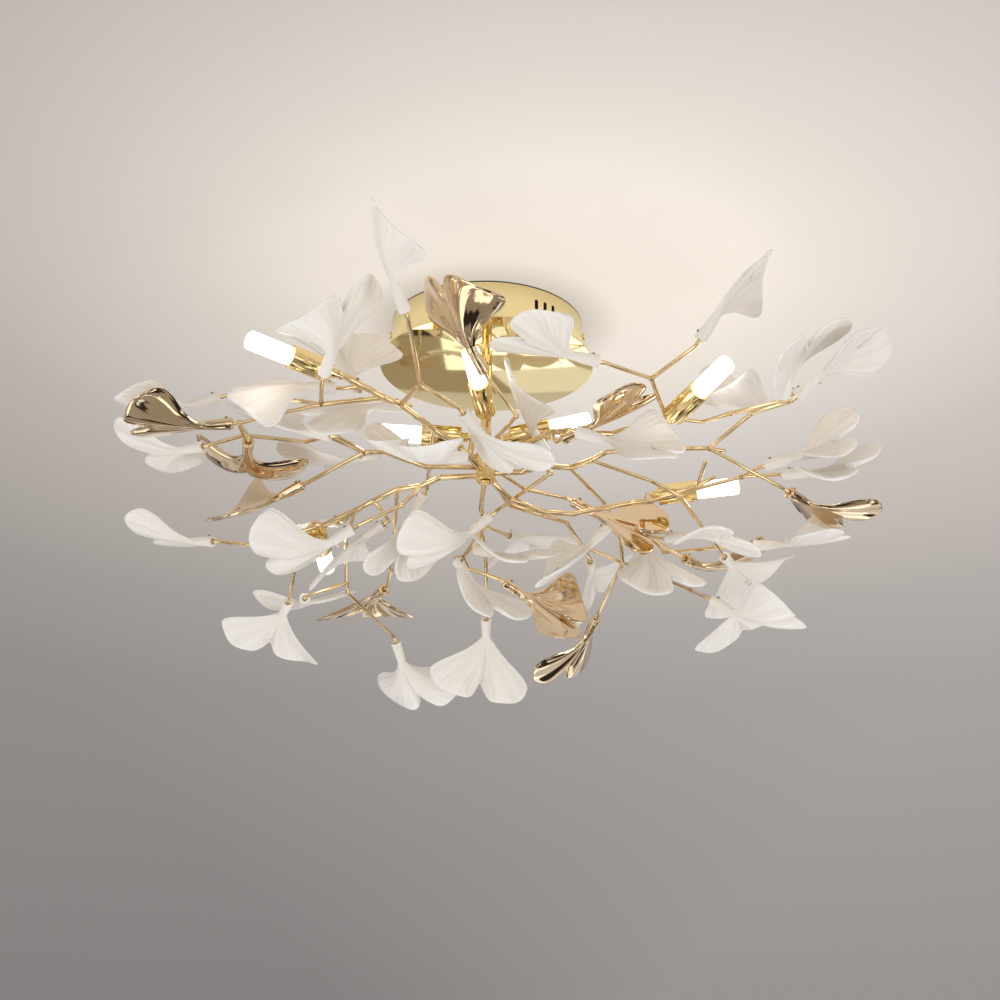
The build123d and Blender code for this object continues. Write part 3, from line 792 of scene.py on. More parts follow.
def bent_rod(diameter, *points, before=0.5, after=0.5):
    """Pieces of a rod through its joints, with its ends a share of its diameter past them."""
    corners = [Vector(point) for point in points]
    corners[0] -= (corners[1] - corners[0]).normalized() * before * diameter
    corners[-1] += (corners[-1] - corners[-2]).normalized() * after * diameter
    pieces = [straight(diameter, start, end) for start, end in zip(corners, corners[1:])]
    pieces += [ball(diameter / 2, corner) for corner in corners[1:-1]]
    return pieces


print("rods", MAIN_ROD, BRANCH_ROD, TWIG_ROD, "with", ROD_SIDES, "sides")

# %% [markdown]
# ## Arms, leaves and lamps in their places
# An arm is a rod that is screwed into the hub, the rods brazed onto it, a twig for each leaf and a neck for
# its lamp. Where a leaf sits is said as a gardener would say it: where its collar is, which way it heads,
# how far it rises and how far it is rolled about its stalk, in degrees. The rods of one arm are joined
# to one piece, and the leaves of one group too.

# %% Place of a leaf and of a lamp
SCREW_SIDE = Vector((0.0, -0.4, 0.92))


def leaf_place(at, heading, rise, roll):
    """Stalk and frame of a leaf: x along the stalk, z out of the fan."""
    heading, rise, roll = radians(heading), radians(rise), radians(roll)
    stalk = Vector((cos(rise) * cos(heading), cos(rise) * sin(heading), sin(rise)))
    side = Vector((-sin(heading), cos(heading), 0))
    across = side * cos(roll) + stalk.cross(side) * sin(roll)
    frame_of_leaf = Matrix((stalk, across, stalk.cross(across))).transposed().to_4x4()
    return Matrix.Translation(Vector(at) * MM) @ frame_of_leaf, stalk


def screw_place(at, stalk):
    """Frame of a grub screw, which faces up and towards the viewer."""
    out = (SCREW_SIDE - stalk * SCREW_SIDE.dot(stalk)).normalized()
    turn = Matrix((stalk, out.cross(stalk), out)).transposed().to_4x4()
    return Matrix.Translation(Vector(at) * MM) @ turn


def axis_place(base, axis):
    """Frame with z along the axis of a lamp."""
    return Matrix.Translation(Vector(base) * MM) @ axis.to_track_quat("Z", "Y").to_matrix().to_4x4()


print("stalk of a level leaf that heads to the viewer", leaf_place((0, 0, 0), 270, 0, 0)[1])

# %% An arm that gathers its pieces
class Arm:
    """A brazed branch with its twigs, the leaves on them and its lamp."""

    leaves = {}
    screws = []
    cups = []

    def __init__(self, name):
        self.name = name
        self.pieces = []

    def root(self, diameter, height, *points):
        """The main run: screwed into the hub at this height, then from joint to joint."""
        centre = Vector((0, 0, height))
        along = (Vector(points[0]) - centre).normalized()
        start = centre + along * (HUB_RADIUS - HUB_SOCKET_DEPTH + SEAT_GAP)
        self.pieces += bent_rod(diameter, start, *points, before=0.0)

    def run(self, diameter, *points):
        """A side rod, brazed on at its first point."""
        self.pieces += bent_rod(diameter, *points)
        self.pieces.append(ball(diameter / 2 + BEAD, Vector(points[0])))

    def leaf(self, group, mould, joint, at, heading, rise, roll, hand=1):
        """A twig from a joint to the collar, the leaf on its end and its screw."""
        place, stalk = leaf_place(at, heading, rise, roll)
        knee = Vector(at) - stalk * TWIG_STRAIGHT
        tip = Vector(at) + stalk * (BORE_DEPTH - SEAT_GAP)
        if (knee - Vector(joint)).dot(stalk) > 0:
            self.pieces += bent_rod(TWIG_ROD, joint, knee, tip, after=0.0)
        else:
            self.pieces += bent_rod(TWIG_ROD, joint, knee)
            self.pieces += bent_rod(TWIG_ROD, knee, tip, after=0.0)
        self.pieces.append(ball(TWIG_ROD / 2 + BEAD, Vector(joint)))
        Arm.leaves.setdefault(group, []).append(leaf_copy(mould, hand, place))
        Arm.screws.append(copy_of(GRUB_MODEL, screw_place(at, stalk)))

    def lamp(self, number, joint, base, tip):
        """A lamp at the end of a neck: cup, bulb and pins on one axis."""
        axis = (Vector(tip) - Vector(base)).normalized()
        place = axis_place(base, axis)
        bend = Vector(base) - axis * NECK_SETBACK
        end = Vector(base) + axis * (CUP_BASE - SEAT_GAP)
        self.pieces += bent_rod(MAIN_ROD, joint, bend)
        self.pieces += bent_rod(MAIN_ROD, bend, end, after=0.0)
        Arm.cups.append(copy_of(CUP_MODEL, place))
        body = f"bulb_{number}"
        bulb = copy_of(BULB_MODEL, place)
        bulb.name = f"glass_{number}"
        hand_over(bulb, BULB_GLASS, "lit_glass", body, body=body)
        pins = copy_of(PINS_MODEL, place)
        pins.name = f"pins_{number}"
        hand_over(pins, STEEL, "bracket_steel", body=body)

    def finish(self):
        """Join the rods to one piece, with softened ends."""
        rods = join(f"rods_{self.name}", self.pieces)
        bevel(rods, 0.5, angle=60.0)
        hand_over(rods, ROD_BRASS, "brass_rod", f"arm_{self.name}")
        print("arm", self.name, "with", len(rods.data.polygons), "faces")

# %% Arm to the front and left, with lamp 1
first = (-25, -45, -155)
low_fork = (-50, -75, -150)
knob_fork = (-80, -110, -140)
twig_fork = (-95, -125, -140)
pair_fork = (-115, -140, -135)
end = (-135, -155, -130)
knob = (-60, -155, -140)
far_joint = (-155, -120, -145)
far_stub = (-175, -105, -135)
arm = Arm("front_left")
arm.root(MAIN_ROD, -166, first, low_fork, knob_fork, twig_fork, pair_fork, end)
arm.run(BRANCH_ROD, twig_fork, far_joint)
arm.run(BRANCH_ROD, knob_fork, knob)
arm.run(TWIG_ROD, far_joint, far_stub)
arm.leaf("white_front_left", "wave", far_joint, (-145, -195, -150), 290, 20, 215)
arm.leaf("white_front_left", "wave", pair_fork, (-120, -125, -130), 120, 50, 175, hand=-1)
arm.leaf("white_front_left", "wave", pair_fork, (-140, -135, -135), 185, 0, 315)
arm.leaf("white_front_left", "lift", far_stub, (-260, -70, -115), 185, -20, 335)
arm.leaf("gold_front_left", "fold", far_joint, (-235, -130, -170), 180, -5, 355)
arm.leaf("white_front_knob", "wave", knob, (-70, -250, -115), 245, 40, 130, hand=-1)
arm.leaf("white_front_knob", "wave", knob, (-20, -135, -160), 55, -20, 205, hand=-1)
arm.leaf("white_front_inner", "wave", knob_fork, (-80, -75, -125), 195, -10, 330, hand=-1)
arm.leaf("white_front_inner", "lift", first, (-20, -70, -175), 220, -25, 335)
arm.leaf("white_front_inner", "wave", low_fork, (-65, 80, -155), 130, -45, 340)
arm.lamp(1, end, (-145, -160, -130), (-215, -205, -120))
arm.finish()

# %% Thin arm to the front with one gold leaf
first = (10, -65, -155)
joint = (30, -130, -160)
arm = Arm("front")
arm.root(TWIG_ROD, -159, first, joint)
arm.leaf("gold_front", "wave", joint, (0, -160, -130), 230, 40, 160, hand=-1)
arm.finish()

# %% Arm to the front and right, with lamp 5
first = (65, -60, -145)
middle = (125, -45, -140)
end = (175, -85, -140)
riser = (165, -115, -135)
fork = (155, -150, -130)
side_joint = (210, -75, -140)
side_end = (235, -95, -140)
arm = Arm("front_right")
arm.root(MAIN_ROD, -154, first, middle, end)
arm.run(TWIG_ROD, end, riser, fork)
arm.run(TWIG_ROD, end, side_joint, side_end)
arm.leaf("white_front_right", "wave", first, (85, -140, -180), 355, -20, 225, hand=-1)
arm.leaf("white_front_right", "wave", fork, (195, -200, -115), 330, 50, 20)
arm.leaf("white_front_right", "wave", fork, (105, -165, -120), 205, 0, 170)
arm.leaf("white_front_right", "wave", side_end, (280, -135, -140), 275, 15, 45, hand=-1)
arm.leaf("gold_front_right", "wave", first, (75, -65, -155), 335, 15, 205, hand=-1)
arm.lamp(5, end, (180, -100, -145), (225, -165, -120))
arm.finish()

# %% Arm to the right, which carries the most leaves
first = (35, -5, -165)
clamp_joint = (60, -10, -160)
low_fork = (85, -5, -160)
fork = (105, -25, -160)
rise = (120, -35, -155)
run_out = (200, -45, -155)
far_fork = (220, -45, -155)
far_end = (255, -95, -140)
far_tip = (325, -80, -98)
far_stub = (235, -40, -155)
side_joint = (165, -10, -175)
side_end = (195, 5, -185)
drop = (125, 80, -165)
drop_fork = (145, 145, -170)
drop_end = (150, 180, -195)
drop_side = (175, 145, -175)
drop_side_end = (195, 185, -180)
clamp_end = (65, -15, -170)
short_end = (50, -15, -160)
arm = Arm("right")
arm.root(MAIN_ROD, -164, first, clamp_joint, low_fork, fork)
arm.run(BRANCH_ROD, fork, rise, run_out, far_fork)
arm.run(TWIG_ROD, far_fork, far_end, far_tip)
arm.run(TWIG_ROD, far_fork, far_stub)
arm.run(TWIG_ROD, fork, side_joint, side_end)
arm.run(TWIG_ROD, low_fork, drop, drop_fork, drop_end)
arm.run(TWIG_ROD, drop_fork, drop_side, drop_side_end)
arm.run(TWIG_ROD, clamp_joint, clamp_end)
arm.run(TWIG_ROD, first, short_end)
arm.leaf("white_right_inner", "lift", clamp_end, (5, 65, -185), 170, -40, 0, hand=-1)
arm.leaf("white_right_inner", "wave", short_end, (60, -20, -150), 235, 35, 130, hand=-1)
arm.leaf("white_right_drop", "wave", side_end, (255, 130, -205), 65, 0, 330, hand=-1)
arm.leaf("white_right_drop", "wave", drop, (130, 90, -185), 155, -40, 140)
arm.leaf("white_right_drop", "wave", drop_fork, (150, 135, -185), 320, -40, 15)
arm.leaf("white_right_low", "wave", drop_side, (190, 85, -200), 315, -10, 5, hand=-1)
arm.leaf("white_right_low", "wave", drop_side_end, (285, 120, -195), 340, -5, 205, hand=-1)
arm.leaf("white_right_far", "bowl", far_tip, (310, -60, -100), 180, -25, 330)
arm.leaf("white_right_far", "fold", far_end, (295, -125, -135), 315, 25, 200)
arm.leaf("gold_right_drop", "wave", drop_end, (125, 270, -230), 115, -35, 145)
arm.leaf("gold_right_drop", "lift", drop_side, (215, 150, -200), 50, 0, 5)
arm.leaf("gold_right_far", "wave", far_fork, (305, 5, -180), 40, -10, 195, hand=-1)
arm.finish()

# %% Lower arm to the right, with lamp 6
first = (25, 30, -180)
middle = (60, 40, -190)
bend = (90, 45, -190)
rise = (150, 50, -175)
end = (170, 45, -175)
stub_fork = (215, 15, -170)
stub_end = (230, 5, -165)
stub_up = (220, -10, -155)
pair_fork = (260, 15, -160)
arm = Arm("right_low")
arm.root(MAIN_ROD, -167, first, middle, bend, rise, end)
arm.run(TWIG_ROD, end, stub_fork, stub_end)
arm.run(TWIG_ROD, stub_fork, stub_up)
arm.run(TWIG_ROD, end, pair_fork)
arm.leaf("white_right_pair", "wave", pair_fork, (280, -15, -160), 330, 5, 225)
arm.leaf("white_right_pair", "wave", pair_fork, (300, -5, -165), 315, -15, 210)
arm.lamp(6, end, (180, 65, -160), (265, 50, -155))
arm.finish()

# %% Arm to the rear and right
first = (25, 60, -175)
middle = (60, 75, -180)
bend = (85, 95, -180)
fork = (105, 155, -185)
run_out = (170, 200, -195)
end = (230, 240, -205)
arm = Arm("rear_right")
arm.root(BRANCH_ROD, -158, first, middle, bend)
arm.run(TWIG_ROD, bend, fork, run_out, end)
arm.leaf("white_rear_right", "fold", fork, (115, 190, -190), 85, -5, 125)
arm.leaf("white_rear_right", "lift", end, (245, 170, -240), 335, -35, 0)
arm.leaf("white_rear_right", "wave", end, (280, 265, -220), 75, 5, 345, hand=-1)
arm.finish()

# %% Thin arm to the right with one gold leaf
first = (40, 40, -165)
joint = (45, 41, -166)
arm = Arm("right_gold")
arm.root(TWIG_ROD, -153, first, joint)
arm.leaf("gold_right", "wave", first, (90, 60, -170), 0, -30, 225)
arm.finish()

# %% Arm to the rear
first = (-5, 70, -175)
side_fork = (0, 95, -185)
fork = (-5, 110, -185)
end = (0, 160, -195)
twin_fork = (-25, 165, -195)
gold_joint = (-20, 185, -200)
arm = Arm("rear")
arm.root(BRANCH_ROD, -164, first, side_fork, fork, end)
arm.run(TWIG_ROD, fork, twin_fork, gold_joint)
arm.leaf("white_rear", "lift", end, (0, 275, -230), 90, -35, 195, hand=-1)
arm.leaf("white_rear", "wave", twin_fork, (-30, 135, -210), 320, -55, 180)
arm.leaf("white_rear", "wave", twin_fork, (-10, 125, -200), 315, -25, 190)
arm.leaf("white_rear", "wave", side_fork, (25, 150, -175), 70, 15, 350)
arm.leaf("gold_rear", "wave", gold_joint, (20, 175, -220), 15, -30, 240, hand=-1)
arm.finish()

# %% Arm to the rear and left, with lamp 7
first = (-45, 10, -165)
down_fork = (-65, 20, -170)
gold_fork = (-90, 30, -170)
leaf_fork = (-115, 50, -175)
long_fork = (-135, 65, -180)
end = (-170, 95, -185)
side_fork = (-200, 107, -189)
far_joint = (-255, 130, -195)
side_end = (-210, 180, -205)
hang_joint = (-150, 130, -190)
hang_fork = (-155, 210, -210)
hang_end = (-155, 230, -215)
down_end = (-85, 25, -190)
gold_joint = (-105, 195, -200)
arm = Arm("rear_left")
arm.root(MAIN_ROD, -167, first, down_fork, gold_fork, leaf_fork, long_fork, end)
arm.run(TWIG_ROD, end, side_fork, far_joint)
arm.run(TWIG_ROD, side_fork, side_end)
arm.run(TWIG_ROD, long_fork, hang_joint, hang_fork, hang_end)
arm.run(TWIG_ROD, down_fork, down_end)
arm.run(TWIG_ROD, gold_fork, gold_joint)
arm.leaf("white_rear_left", "lift", down_end, (-135, 40, -210), 170, -30, 10)
arm.leaf("white_rear_left", "wave", leaf_fork, (-105, 65, -195), 145, -20, 330, hand=-1)
arm.leaf("white_rear_left", "wave", long_fork, (-160, 150, -160), 140, 10, 350, hand=-1)
arm.leaf("white_rear_hang", "wave", hang_fork, (-200, 205, -230), 95, 10, 175, hand=-1)
arm.leaf("white_rear_hang", "bowl", hang_end, (-105, 320, -245), 65, -50, 355, hand=-1)
arm.leaf("white_rear_hang", "wave", side_end, (-220, 220, -230), 110, -15, 20, hand=-1)
arm.leaf("white_rear_hang", "fold", far_joint, (-290, 120, -195), 150, 10, 0)
arm.leaf("gold_rear_left", "fold", gold_joint, (-115, 245, -205), 115, 0, 170)
arm.lamp(7, end, (-180, 110, -185), (-175, 195, -200))
arm.finish()

# %% Arm to the left
first = (-60, -5, -160)
middle = (-100, -30, -155)
fork = (-120, -30, -155)
bend = (-155, -45, -145)
rise = (-180, -20, -140)
end = (-240, -35, -140)
down_end = (-240, -70, -142)
arm = Arm("left")
arm.root(BRANCH_ROD, -158, first, middle, fork, bend)
arm.run(TWIG_ROD, bend, rise, end, down_end)
arm.leaf("white_left", "wave", end, (-280, -30, -150), 145, 5, 185)
arm.leaf("white_left", "wave", fork, (-150, -70, -155), 165, 15, 155)
arm.leaf("white_left", "fold", fork, (-125, -10, -150), 125, 10, 355)
arm.leaf("gold_left", "lift", down_end, (-230, -65, -160), 100, -10, 10, hand=-1)
arm.leaf("gold_left", "wave", fork, (-185, 20, -170), 160, -20, 140)
arm.finish()

# %% Necks of the three inner lamps
inner = (
    (2, "lamp_front", (-2, -16, -147), (0, -30, -110), (-15, -105, -80)),
    (3, "lamp_left", (-16, -4, -147), (-25, 0, -125), (-110, 0, -120)),
    (4, "lamp_right", (16, 1, -147), (25, 0, -125), (105, 0, -105)),
)
for number, name, elbow, base, tip in inner:
    arm = Arm(name)
    arm.root(BRANCH_ROD, -149, elbow)
    arm.lamp(number, elbow, base, tip)
    arm.finish()

# %% [markdown]
# ## Canopy
# The canopy is a spun brass cup, open to the ceiling, with a mirror polished disc under it. The cup starts
# as a cylinder whose top face is deleted; its lower edge is beveled before Solidify gives it its wall,
# so that the bend has the same thickness. Vents and screw holes are cut by one Boolean.

# %% Sizes of the canopy, in millimetres
CANOPY_RADIUS = 99.0
CANOPY_TOP = -0.8
CANOPY_FLOOR = -42.7
CANOPY_WALL = 1.2
CANOPY_BEND = 0.8
STEM_HOLE = 5.3
VENT_WIDTH = 4.0
VENT_HEIGHT = 11.0
VENT_DROP = 18.5
VENT_CUT = 8.0
VENT_ANGLES = (-60.0, -54.0, -48.0)
EAR_SCREW_DROP = 10.0
EAR_SCREW_RADIUS = 1.8
CUT_PAST = 5.0


def vent_cutter(turn):
    """A long hole as a body: a cylinder whose upper half is moved up."""
    cutter = upright(20, VENT_WIDTH / 2, -VENT_CUT, VENT_CUT)
    cutter.data.transform(Matrix.Rotation(pi / 2, 4, "Y"))
    rise = (VENT_HEIGHT - VENT_WIDTH) / 2 * MM
    for vertex in cutter.data.vertices:
        vertex.co.z += rise if vertex.co.z > 0 else -rise
    cutter.data.transform(Matrix.Rotation(radians(turn), 4, "Z")
                          @ Matrix.Translation((CANOPY_RADIUS * MM, 0, -VENT_DROP * MM)))
    return cutter


def cut(piece, cutter):
    """Cut one body out of another with a Boolean."""
    select_only(piece)
    hole = piece.modifiers.new("hole", "BOOLEAN")
    hole.object = cutter
    hole.solver = "EXACT"
    bpy.ops.object.modifier_apply(modifier=hole.name)
    bpy.data.objects.remove(cutter)


print("canopy", 2 * CANOPY_RADIUS, "across, with", len(VENT_ANGLES), "vents")

# %% Cup of the canopy
canopy = upright(160, CANOPY_RADIUS, CANOPY_FLOOR, CANOPY_TOP)
pick_faces(canopy, 1)
bpy.ops.mesh.delete(type="FACE")
leave()
pick_faces(canopy, -1)
inset(CANOPY_RADIUS - STEM_HOLE)
bpy.ops.mesh.delete(type="FACE")
leave()
bevel(canopy, CANOPY_BEND, segments=3)
select_only(canopy)
wall = canopy.modifiers.new("wall", "SOLIDIFY")
wall.thickness = CANOPY_WALL * MM
wall.offset = -1.0
bpy.ops.object.modifier_apply(modifier=wall.name)
reach = CANOPY_RADIUS + CUT_PAST
ear_hole = upright(20, EAR_SCREW_RADIUS + SEAT_GAP, -reach, reach)
ear_hole.data.transform(Matrix.Translation((0, 0, -EAR_SCREW_DROP * MM)) @ Matrix.Rotation(pi / 2, 4, "Y"))
cut(canopy, join("cutters", [*(vent_cutter(turn) for turn in VENT_ANGLES), ear_hole]))
canopy.name = "canopy_shell"
hand_over(canopy, WALL_BRASS, "canopy_brass", "canopy_cup")
print("canopy", len(canopy.data.polygons), "faces")

# %% [markdown]
# The disc, the stem and the hub are turned parts. A cylinder, an inset and an extrusion give each step,
# and a bevel takes the edge off, which is where polished brass shows its brightest lines.

# %% Disc
DISC_RADIUS = 110.0
DISC_LOW = -45.0
DISC_TOP = -43.0
disc = upright(180, DISC_RADIUS, DISC_LOW, DISC_TOP)
bevel(disc, 0.5, segments=3)
disc.name = "mirror_disc"
hand_over(disc, DISC_BRASS, "mirror_brass", "canopy_disc")
print("disc", len(disc.data.polygons), "faces")

# %% Stem
STEM_RADIUS = 5.5
STEM_LOW = -144.5
STEM_SHOULDER = -45.3
THREAD_RADIUS = 5.0
THREAD_LENGTH = 15.0
stem = upright(48, STEM_RADIUS, STEM_LOW, STEM_SHOULDER)
pick_faces(stem, 1)
inset(STEM_RADIUS - THREAD_RADIUS)
push(THREAD_LENGTH)
leave()
bevel(stem, 0.3)
stem.name = "stem"
hand_over(stem, CUP_BRASS, "brass_rod", "stem_tube")
print("stem", len(stem.data.polygons), "faces")

# %% Hub and cap
HUB_TOP = -142.0
HUB_BOTTOM = -173.0
COLLAR_INSET = 1.2
COLLAR_STEP = 1.0
DISH_STEP = 0.6
CAP_RADIUS = 5.5
CAP_HEIGHT = 2.5
CAP_TOP = -173.3
hub = upright(64, HUB_RADIUS, HUB_BOTTOM, HUB_TOP)
for way in (-1, 1):
    pick_faces(hub, way)
    inset(COLLAR_INSET)
    push(-COLLAR_STEP * way)
    inset(COLLAR_STEP)
    push(DISH_STEP * way)
    leave()
bevel(hub, 0.6, segments=3)
hub.name = "hub"
hand_over(hub, CUP_BRASS, "brass_rod", "hub_body")

cap = upright(32, CAP_RADIUS, CAP_TOP - CAP_HEIGHT, CAP_TOP)
bevel(cap, 0.9, segments=3)
cap.name = "cap"
hand_over(cap, CUP_BRASS, "brass_rod", "hub_cap")
print("hub", len(hub.data.polygons), "cap", len(cap.data.polygons), "faces")

# %% Canopy screws
HEAD_RADIUS = 4.0
HEAD_HEIGHT = 2.4
HEAD_CROWN = 1.3
DRIVE_DEPTH = 0.8
SLOT_LENGTH, SLOT_WIDTH = 6.0, 0.6
SHANK_LENGTH = 9.0
screws = []
for turn in (0, 180):
    head = upright(32, HEAD_RADIUS, 0, HEAD_HEIGHT)
    bevel(head, HEAD_CROWN, segments=4)
    slot = upright(4, 1.0, HEAD_HEIGHT - DRIVE_DEPTH, HEAD_HEIGHT + 1)
    slot.data.transform(Matrix.Diagonal((SLOT_LENGTH, SLOT_WIDTH, 1.0, 1.0)))
    cut(head, slot)
    shank = upright(16, EAR_SCREW_RADIUS, -SHANK_LENGTH, 0.2)
    screw = join("screw", [head, shank])
    screw.data.transform(Matrix.Rotation(radians(turn), 4, "Z")
                         @ Matrix.Translation(((CANOPY_RADIUS + SEAT_GAP) * MM, 0, -EAR_SCREW_DROP * MM))
                         @ Matrix.Rotation(pi / 2, 4, "Y"))
    screws.append(screw)
canopy_screws = join("canopy_screw_pair", screws)
hand_over(canopy_screws, WALL_BRASS, "canopy_brass", "canopy_screws")
print("canopy screws", len(canopy_screws.data.polygons), "faces")

# %% [markdown]
# ## Pieces that belong to all arms
# The leaves of each group become one piece, and so do the cups and the grub screws. The parts inside the
# canopy and the sockets keep the shape that the model gives them, and only get their finishes.

# %% Join and dress
LEAF_FINISH = {"white": (WHITE_LEAF, "white_ceramic"), "gold": (GOLD_LEAF, "gold_plated")}
for group, leaves in Arm.leaves.items():
    finish, slot = LEAF_FINISH[group.split("_")[0]]
    piece = join(f"leaves_{group}", leaves)
    hand_over(piece, finish, slot, f"leaf_{group}", smooth=70.0)

cups = join("cups", Arm.cups)
hand_over(cups, CUP_BRASS, "brass_rod", "lamp_cups")
grub_screws = join("grub_screws", Arm.screws)
hand_over(grub_screws, SCREW_STEEL, "bracket_steel")

for model in (*leaf_models.values(), GRUB_MODEL, CUP_MODEL, BULB_MODEL, PINS_MODEL):
    bpy.data.objects.remove(model)

KEPT_NODES = {
    "ceiling_bracket": STEEL,
    "stem_nut": STEEL,
    "terminal_block": PLASTIC,
    "lamp_sockets": PORCELAIN,
}
for name, finish in KEPT_NODES.items():
    dress(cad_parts[name], finish)
print("groups", len(Arm.leaves), "screws", len(grub_screws.data.polygons))

# %% [markdown]
# ## Ceiling
# The ceiling is a plain painted plane just above the canopy. Its colour holds painted light: a pool of
# light round the lamps that turns greyer away from them, painted side light that is a little darker on the
# left, a painted shadow close round the canopy and painted shade inside it. Part of what the camera sees of
# it is this colour as a glow of its own, and the rest is light that falls on it, which keeps the shadows.
# It shows only from below, so the light can also be looked at from above.

# %% Ceiling paint
CEILING_HEIGHT = 0.0008
CEILING_SIZE = 60.0
# Painted light on the ceiling: a pool of light round the lamps, with its middle and reach, and painted side
# light, darker to the left
PAINTED_LIGHT_MIDDLE = Vector((0.05, -0.10, 0.0))
PAINTED_LIGHT_REACH = 6.5
PAINTED_SIDE_LIGHT = 0.15
SIDE_LIGHT_REACH = 0.8
# Share of the ceiling that camera rays and reflections see as a glow of its painted light, though it is no
# lamp
PAINTED_GLOW_SHARE = 0.72
# Painted shade inside the canopy, and a painted shadow in a ring round it
CANOPY_INSIDE_SHADE = (0.01, 0.01, 0.01)
CANOPY_INSIDE = 0.0985
SHADE_START, SHADE_END = 0.097, 0.14
SHADE_TONE = 0.70
# Each tone of the painted pool of light round the lamps, with its distance from the middle, as a share of
# the reach
PAINTED_LIGHT_TONES = [
    (0.0, (0.96, 0.89, 0.80)), (0.031, (0.915, 0.847, 0.763)), (0.049, (0.78, 0.726, 0.665)),
    (0.069, (0.667, 0.62, 0.588)), (0.092, (0.564, 0.516, 0.483)), (0.123, (0.50, 0.46, 0.425)),
    (0.169, (0.41, 0.381, 0.364)), (0.246, (0.352, 0.328, 0.319)), (0.369, (0.335, 0.312, 0.305)),
    (0.615, (0.316, 0.293, 0.29)), (1.0, (0.295, 0.272, 0.27)),
]


def ceiling_painted_light(finish):
    """Painted light: a pool of light that fades from the middle outwards, and painted side light, darker to
    the left than to the right.
    """
    away = finish.node("ShaderNodeVectorMath", {"operation": "DISTANCE"},
                       {0: finish.place(), 1: PAINTED_LIGHT_MIDDLE}, output=1)
    tone = finish.node("ShaderNodeValToRGB", {"stops": PAINTED_LIGHT_TONES},
                       {0: finish.span(away, 0.0, PAINTED_LIGHT_REACH)})
    side, _, _ = finish.parts(finish.place())
    return finish.blend(finish.span(side, -SIDE_LIGHT_REACH, SIDE_LIGHT_REACH), finish.dim(tone, 1 - PAINTED_SIDE_LIGHT),
                        finish.dim(tone, 1 + PAINTED_SIDE_LIGHT))


def canopy_shade(finish):
    """Painted shade: 0 inside the canopy, the tone of a painted shadow close round it and 1 further out."""
    radius = finish.node("ShaderNodeVectorMath", {"operation": "LENGTH"}, {0: finish.place()}, output=1)
    shade = finish.span(radius, SHADE_START, SHADE_END, SHADE_TONE, 1.0)
    return shade * finish.span(radius, CANOPY_INSIDE, CANOPY_INSIDE + 0.0005)


def painted_light_ceiling():
    """Matt paint with painted light, seen from below in part as a glow of its own colour, and clear from
    above.
    """
    finish = Finish("painted_light_ceiling", roughness=0.9)
    # The painted light is also the base colour of the lit paint
    tone = ceiling_painted_light(finish)
    finish.set("Base Color", tone)
    finish.bump(finish.noise(90.0, detail=4.0), 0.0006, 0.35)
    # The painted light with the painted shade inside and round the canopy
    shaded = finish.blend(canopy_shade(finish), CANOPY_INSIDE_SHADE, tone)
    # A glow of the painted light and shade, though the ceiling is no lamp
    glow = finish.node("ShaderNodeEmission", None, {"Color": shaded})
    lit = Value(finish, finish.shader.outputs[0])
    share = finish.rays("Camera", "Glossy", "Transmission") * PAINTED_GLOW_SHARE
    shown = finish.node("ShaderNodeMixShader", None, {0: share, 1: lit, 2: glow})
    back = finish.node("ShaderNodeNewGeometry", output="Backfacing")
    clear = finish.node("ShaderNodeBsdfTransparent")
    seen = finish.node("ShaderNodeMixShader", None, {0: back, 1: shown, 2: clear})
    finish.feed(finish.tree.nodes["Material Output"].inputs["Surface"], seen)
    return finish.material


print("ceiling tones", len(PAINTED_LIGHT_TONES))

# %% Ceiling
bpy.ops.mesh.primitive_plane_add(size=CEILING_SIZE, location=(0, 0, CEILING_HEIGHT))
ceiling = bpy.context.object
ceiling.name = "ceiling"
settle(ceiling)
edit(ceiling, "SELECT")
bpy.ops.mesh.flip_normals()
leave()
dress(ceiling, painted_light_ceiling())
print("ceiling", ceiling.dimensions.x, "m wide, at", CEILING_HEIGHT)

# %% [markdown]
# ## Light
# The bulbs glow, but most of the light is a plain, soft room light: an even world and three wide area
# lamps. Polished brass shows what is around it, and an even room would make it look like plastic. So rays
# off polished metal find a room instead: walls that are darker low down, some dark panels, some bright
# windows, and far ahead a pale floor with a brown rug, which the mirror disc shows.

# %% The room that polished metal shows
PANEL_SCALE = 3.4
DARK_SHARE = 0.34
WINDOW_START = 0.83
DARK = (0.03, 0.026, 0.024)
WINDOW = (1.8, 1.75, 1.65)
RUG = (0.36, 0.30, 0.235)
FLOOR = (0.86, 0.84, 0.80)
RUG_PLACE = 0.1225
RUG_SLANT = 0.3
FLOOR_HEIGHT = -0.28
FLOOR_AHEAD = 0.80
SHARP = 0.005
EVEN_TONES = [(0.0, (0.66, 0.64, 0.62)), (0.5, (0.82, 0.80, 0.78)), (1.0, (0.88, 0.86, 0.84))]
WALL_TONES = [
    (0.0, (0.30, 0.27, 0.24)), (0.35, (0.46, 0.42, 0.38)), (0.7, (0.72, 0.69, 0.65)),
    (1.0, (0.85, 0.83, 0.80)),
]


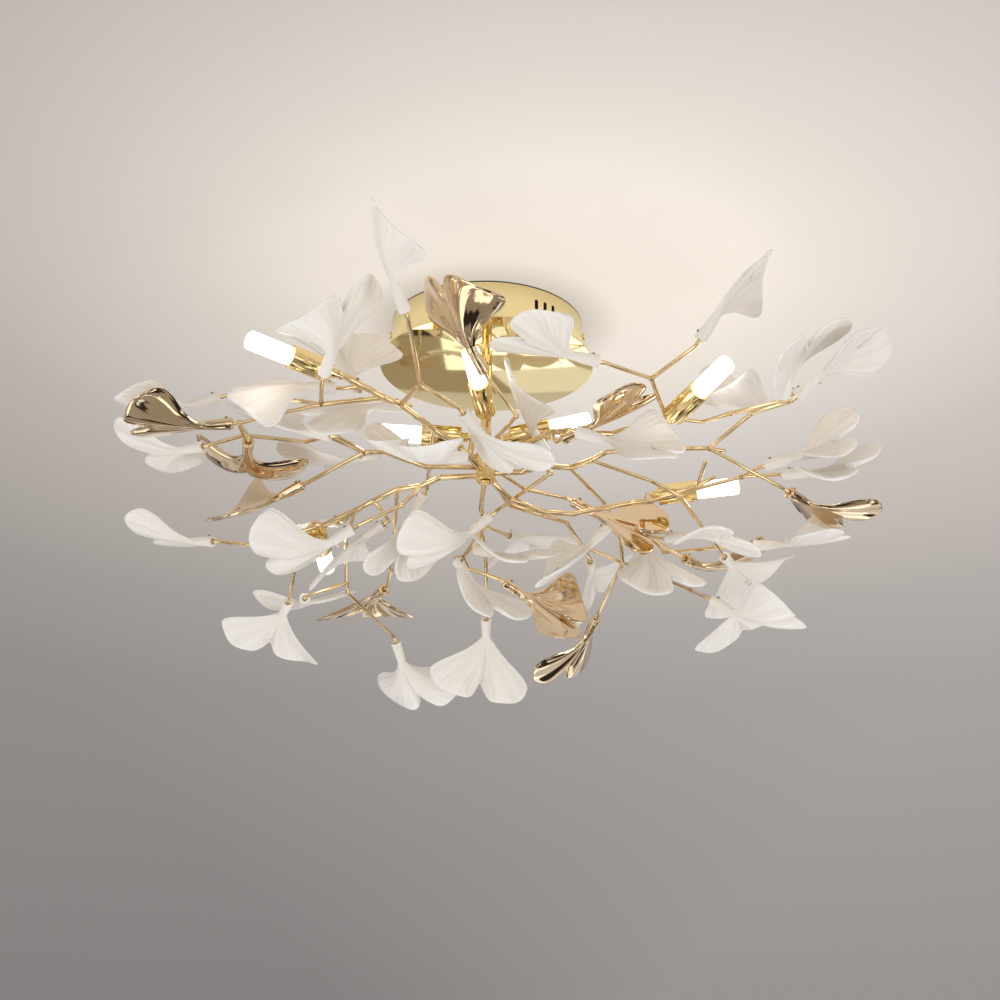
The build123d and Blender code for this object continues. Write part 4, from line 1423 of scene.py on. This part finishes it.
def room_walls(graph, direction, height):
    """Panels round the viewer: some dark, some bright as windows, and the wall's own tone between."""
    walls = graph.node("ShaderNodeValToRGB", {"stops": WALL_TONES}, {0: graph.span(height, -1.0, 0.4)})
    panels = graph.node("ShaderNodeTexVoronoi", {"distance": "MANHATTAN"},
                        {"Vector": direction, "Scale": PANEL_SCALE}, output=1)
    choice = graph.parts(panels)[0]
    dark = graph.blend(graph.span(choice, DARK_SHARE, DARK_SHARE + 2 * SHARP), DARK, walls)
    return graph.blend(graph.span(choice, WINDOW_START, WINDOW_START + 2 * SHARP), dark, WINDOW)


def room():
    """Even light for matt surfaces, and a room with windows for the reflections."""
    world = bpy.data.worlds.new("room")
    scene.world = world
    world.use_nodes = True
    graph = Graph(world.node_tree)
    direction = graph.node("ShaderNodeTexCoord", output="Generated")
    side, ahead, height = graph.parts(direction)
    even = graph.node("ShaderNodeValToRGB", {"stops": EVEN_TONES}, {0: graph.span(height, -1.0, 0.4)})
    rug_edge = side - height * RUG_SLANT - RUG_PLACE
    floor = graph.blend(graph.span(rug_edge, -0.001, 0.001), RUG, FLOOR)
    low = graph.span(height, FLOOR_HEIGHT, FLOOR_HEIGHT - SHARP)
    far_floor = low * graph.span(ahead, FLOOR_AHEAD, FLOOR_AHEAD + SHARP)
    reflected = graph.blend(far_floor, room_walls(graph, direction, height), floor)
    seen = graph.blend(graph.rays("Glossy"), even, reflected)
    graph.feed(world.node_tree.nodes["Background"].inputs["Color"], seen)


room()
print("world", scene.world.name)

# %% Area lamps
LIGHT_MIDDLE = Vector((0, 0, -0.12))


def area_lamp(place, size, power, colour):
    """A soft lamp in the room, below the ceiling light, that shines on its middle."""
    bpy.ops.object.light_add(type="AREA", location=place)
    lamp = bpy.context.object
    lamp.rotation_euler = (LIGHT_MIDDLE - Vector(place)).to_track_quat("-Z", "Y").to_euler()
    lamp.data.size = size
    lamp.data.energy = power
    lamp.data.color = colour
    print("lamp at", place, "with", power, "W")


area_lamp((-1.7, -1.5, -1.5), 1.3, 13.0, (1.0, 0.97, 0.92))
area_lamp((2.0, -0.9, -1.3), 1.0, 9.0, (1.0, 0.98, 0.95))
area_lamp((0.3, 1.9, -1.6), 1.2, 5.0, (0.96, 0.98, 1.0))
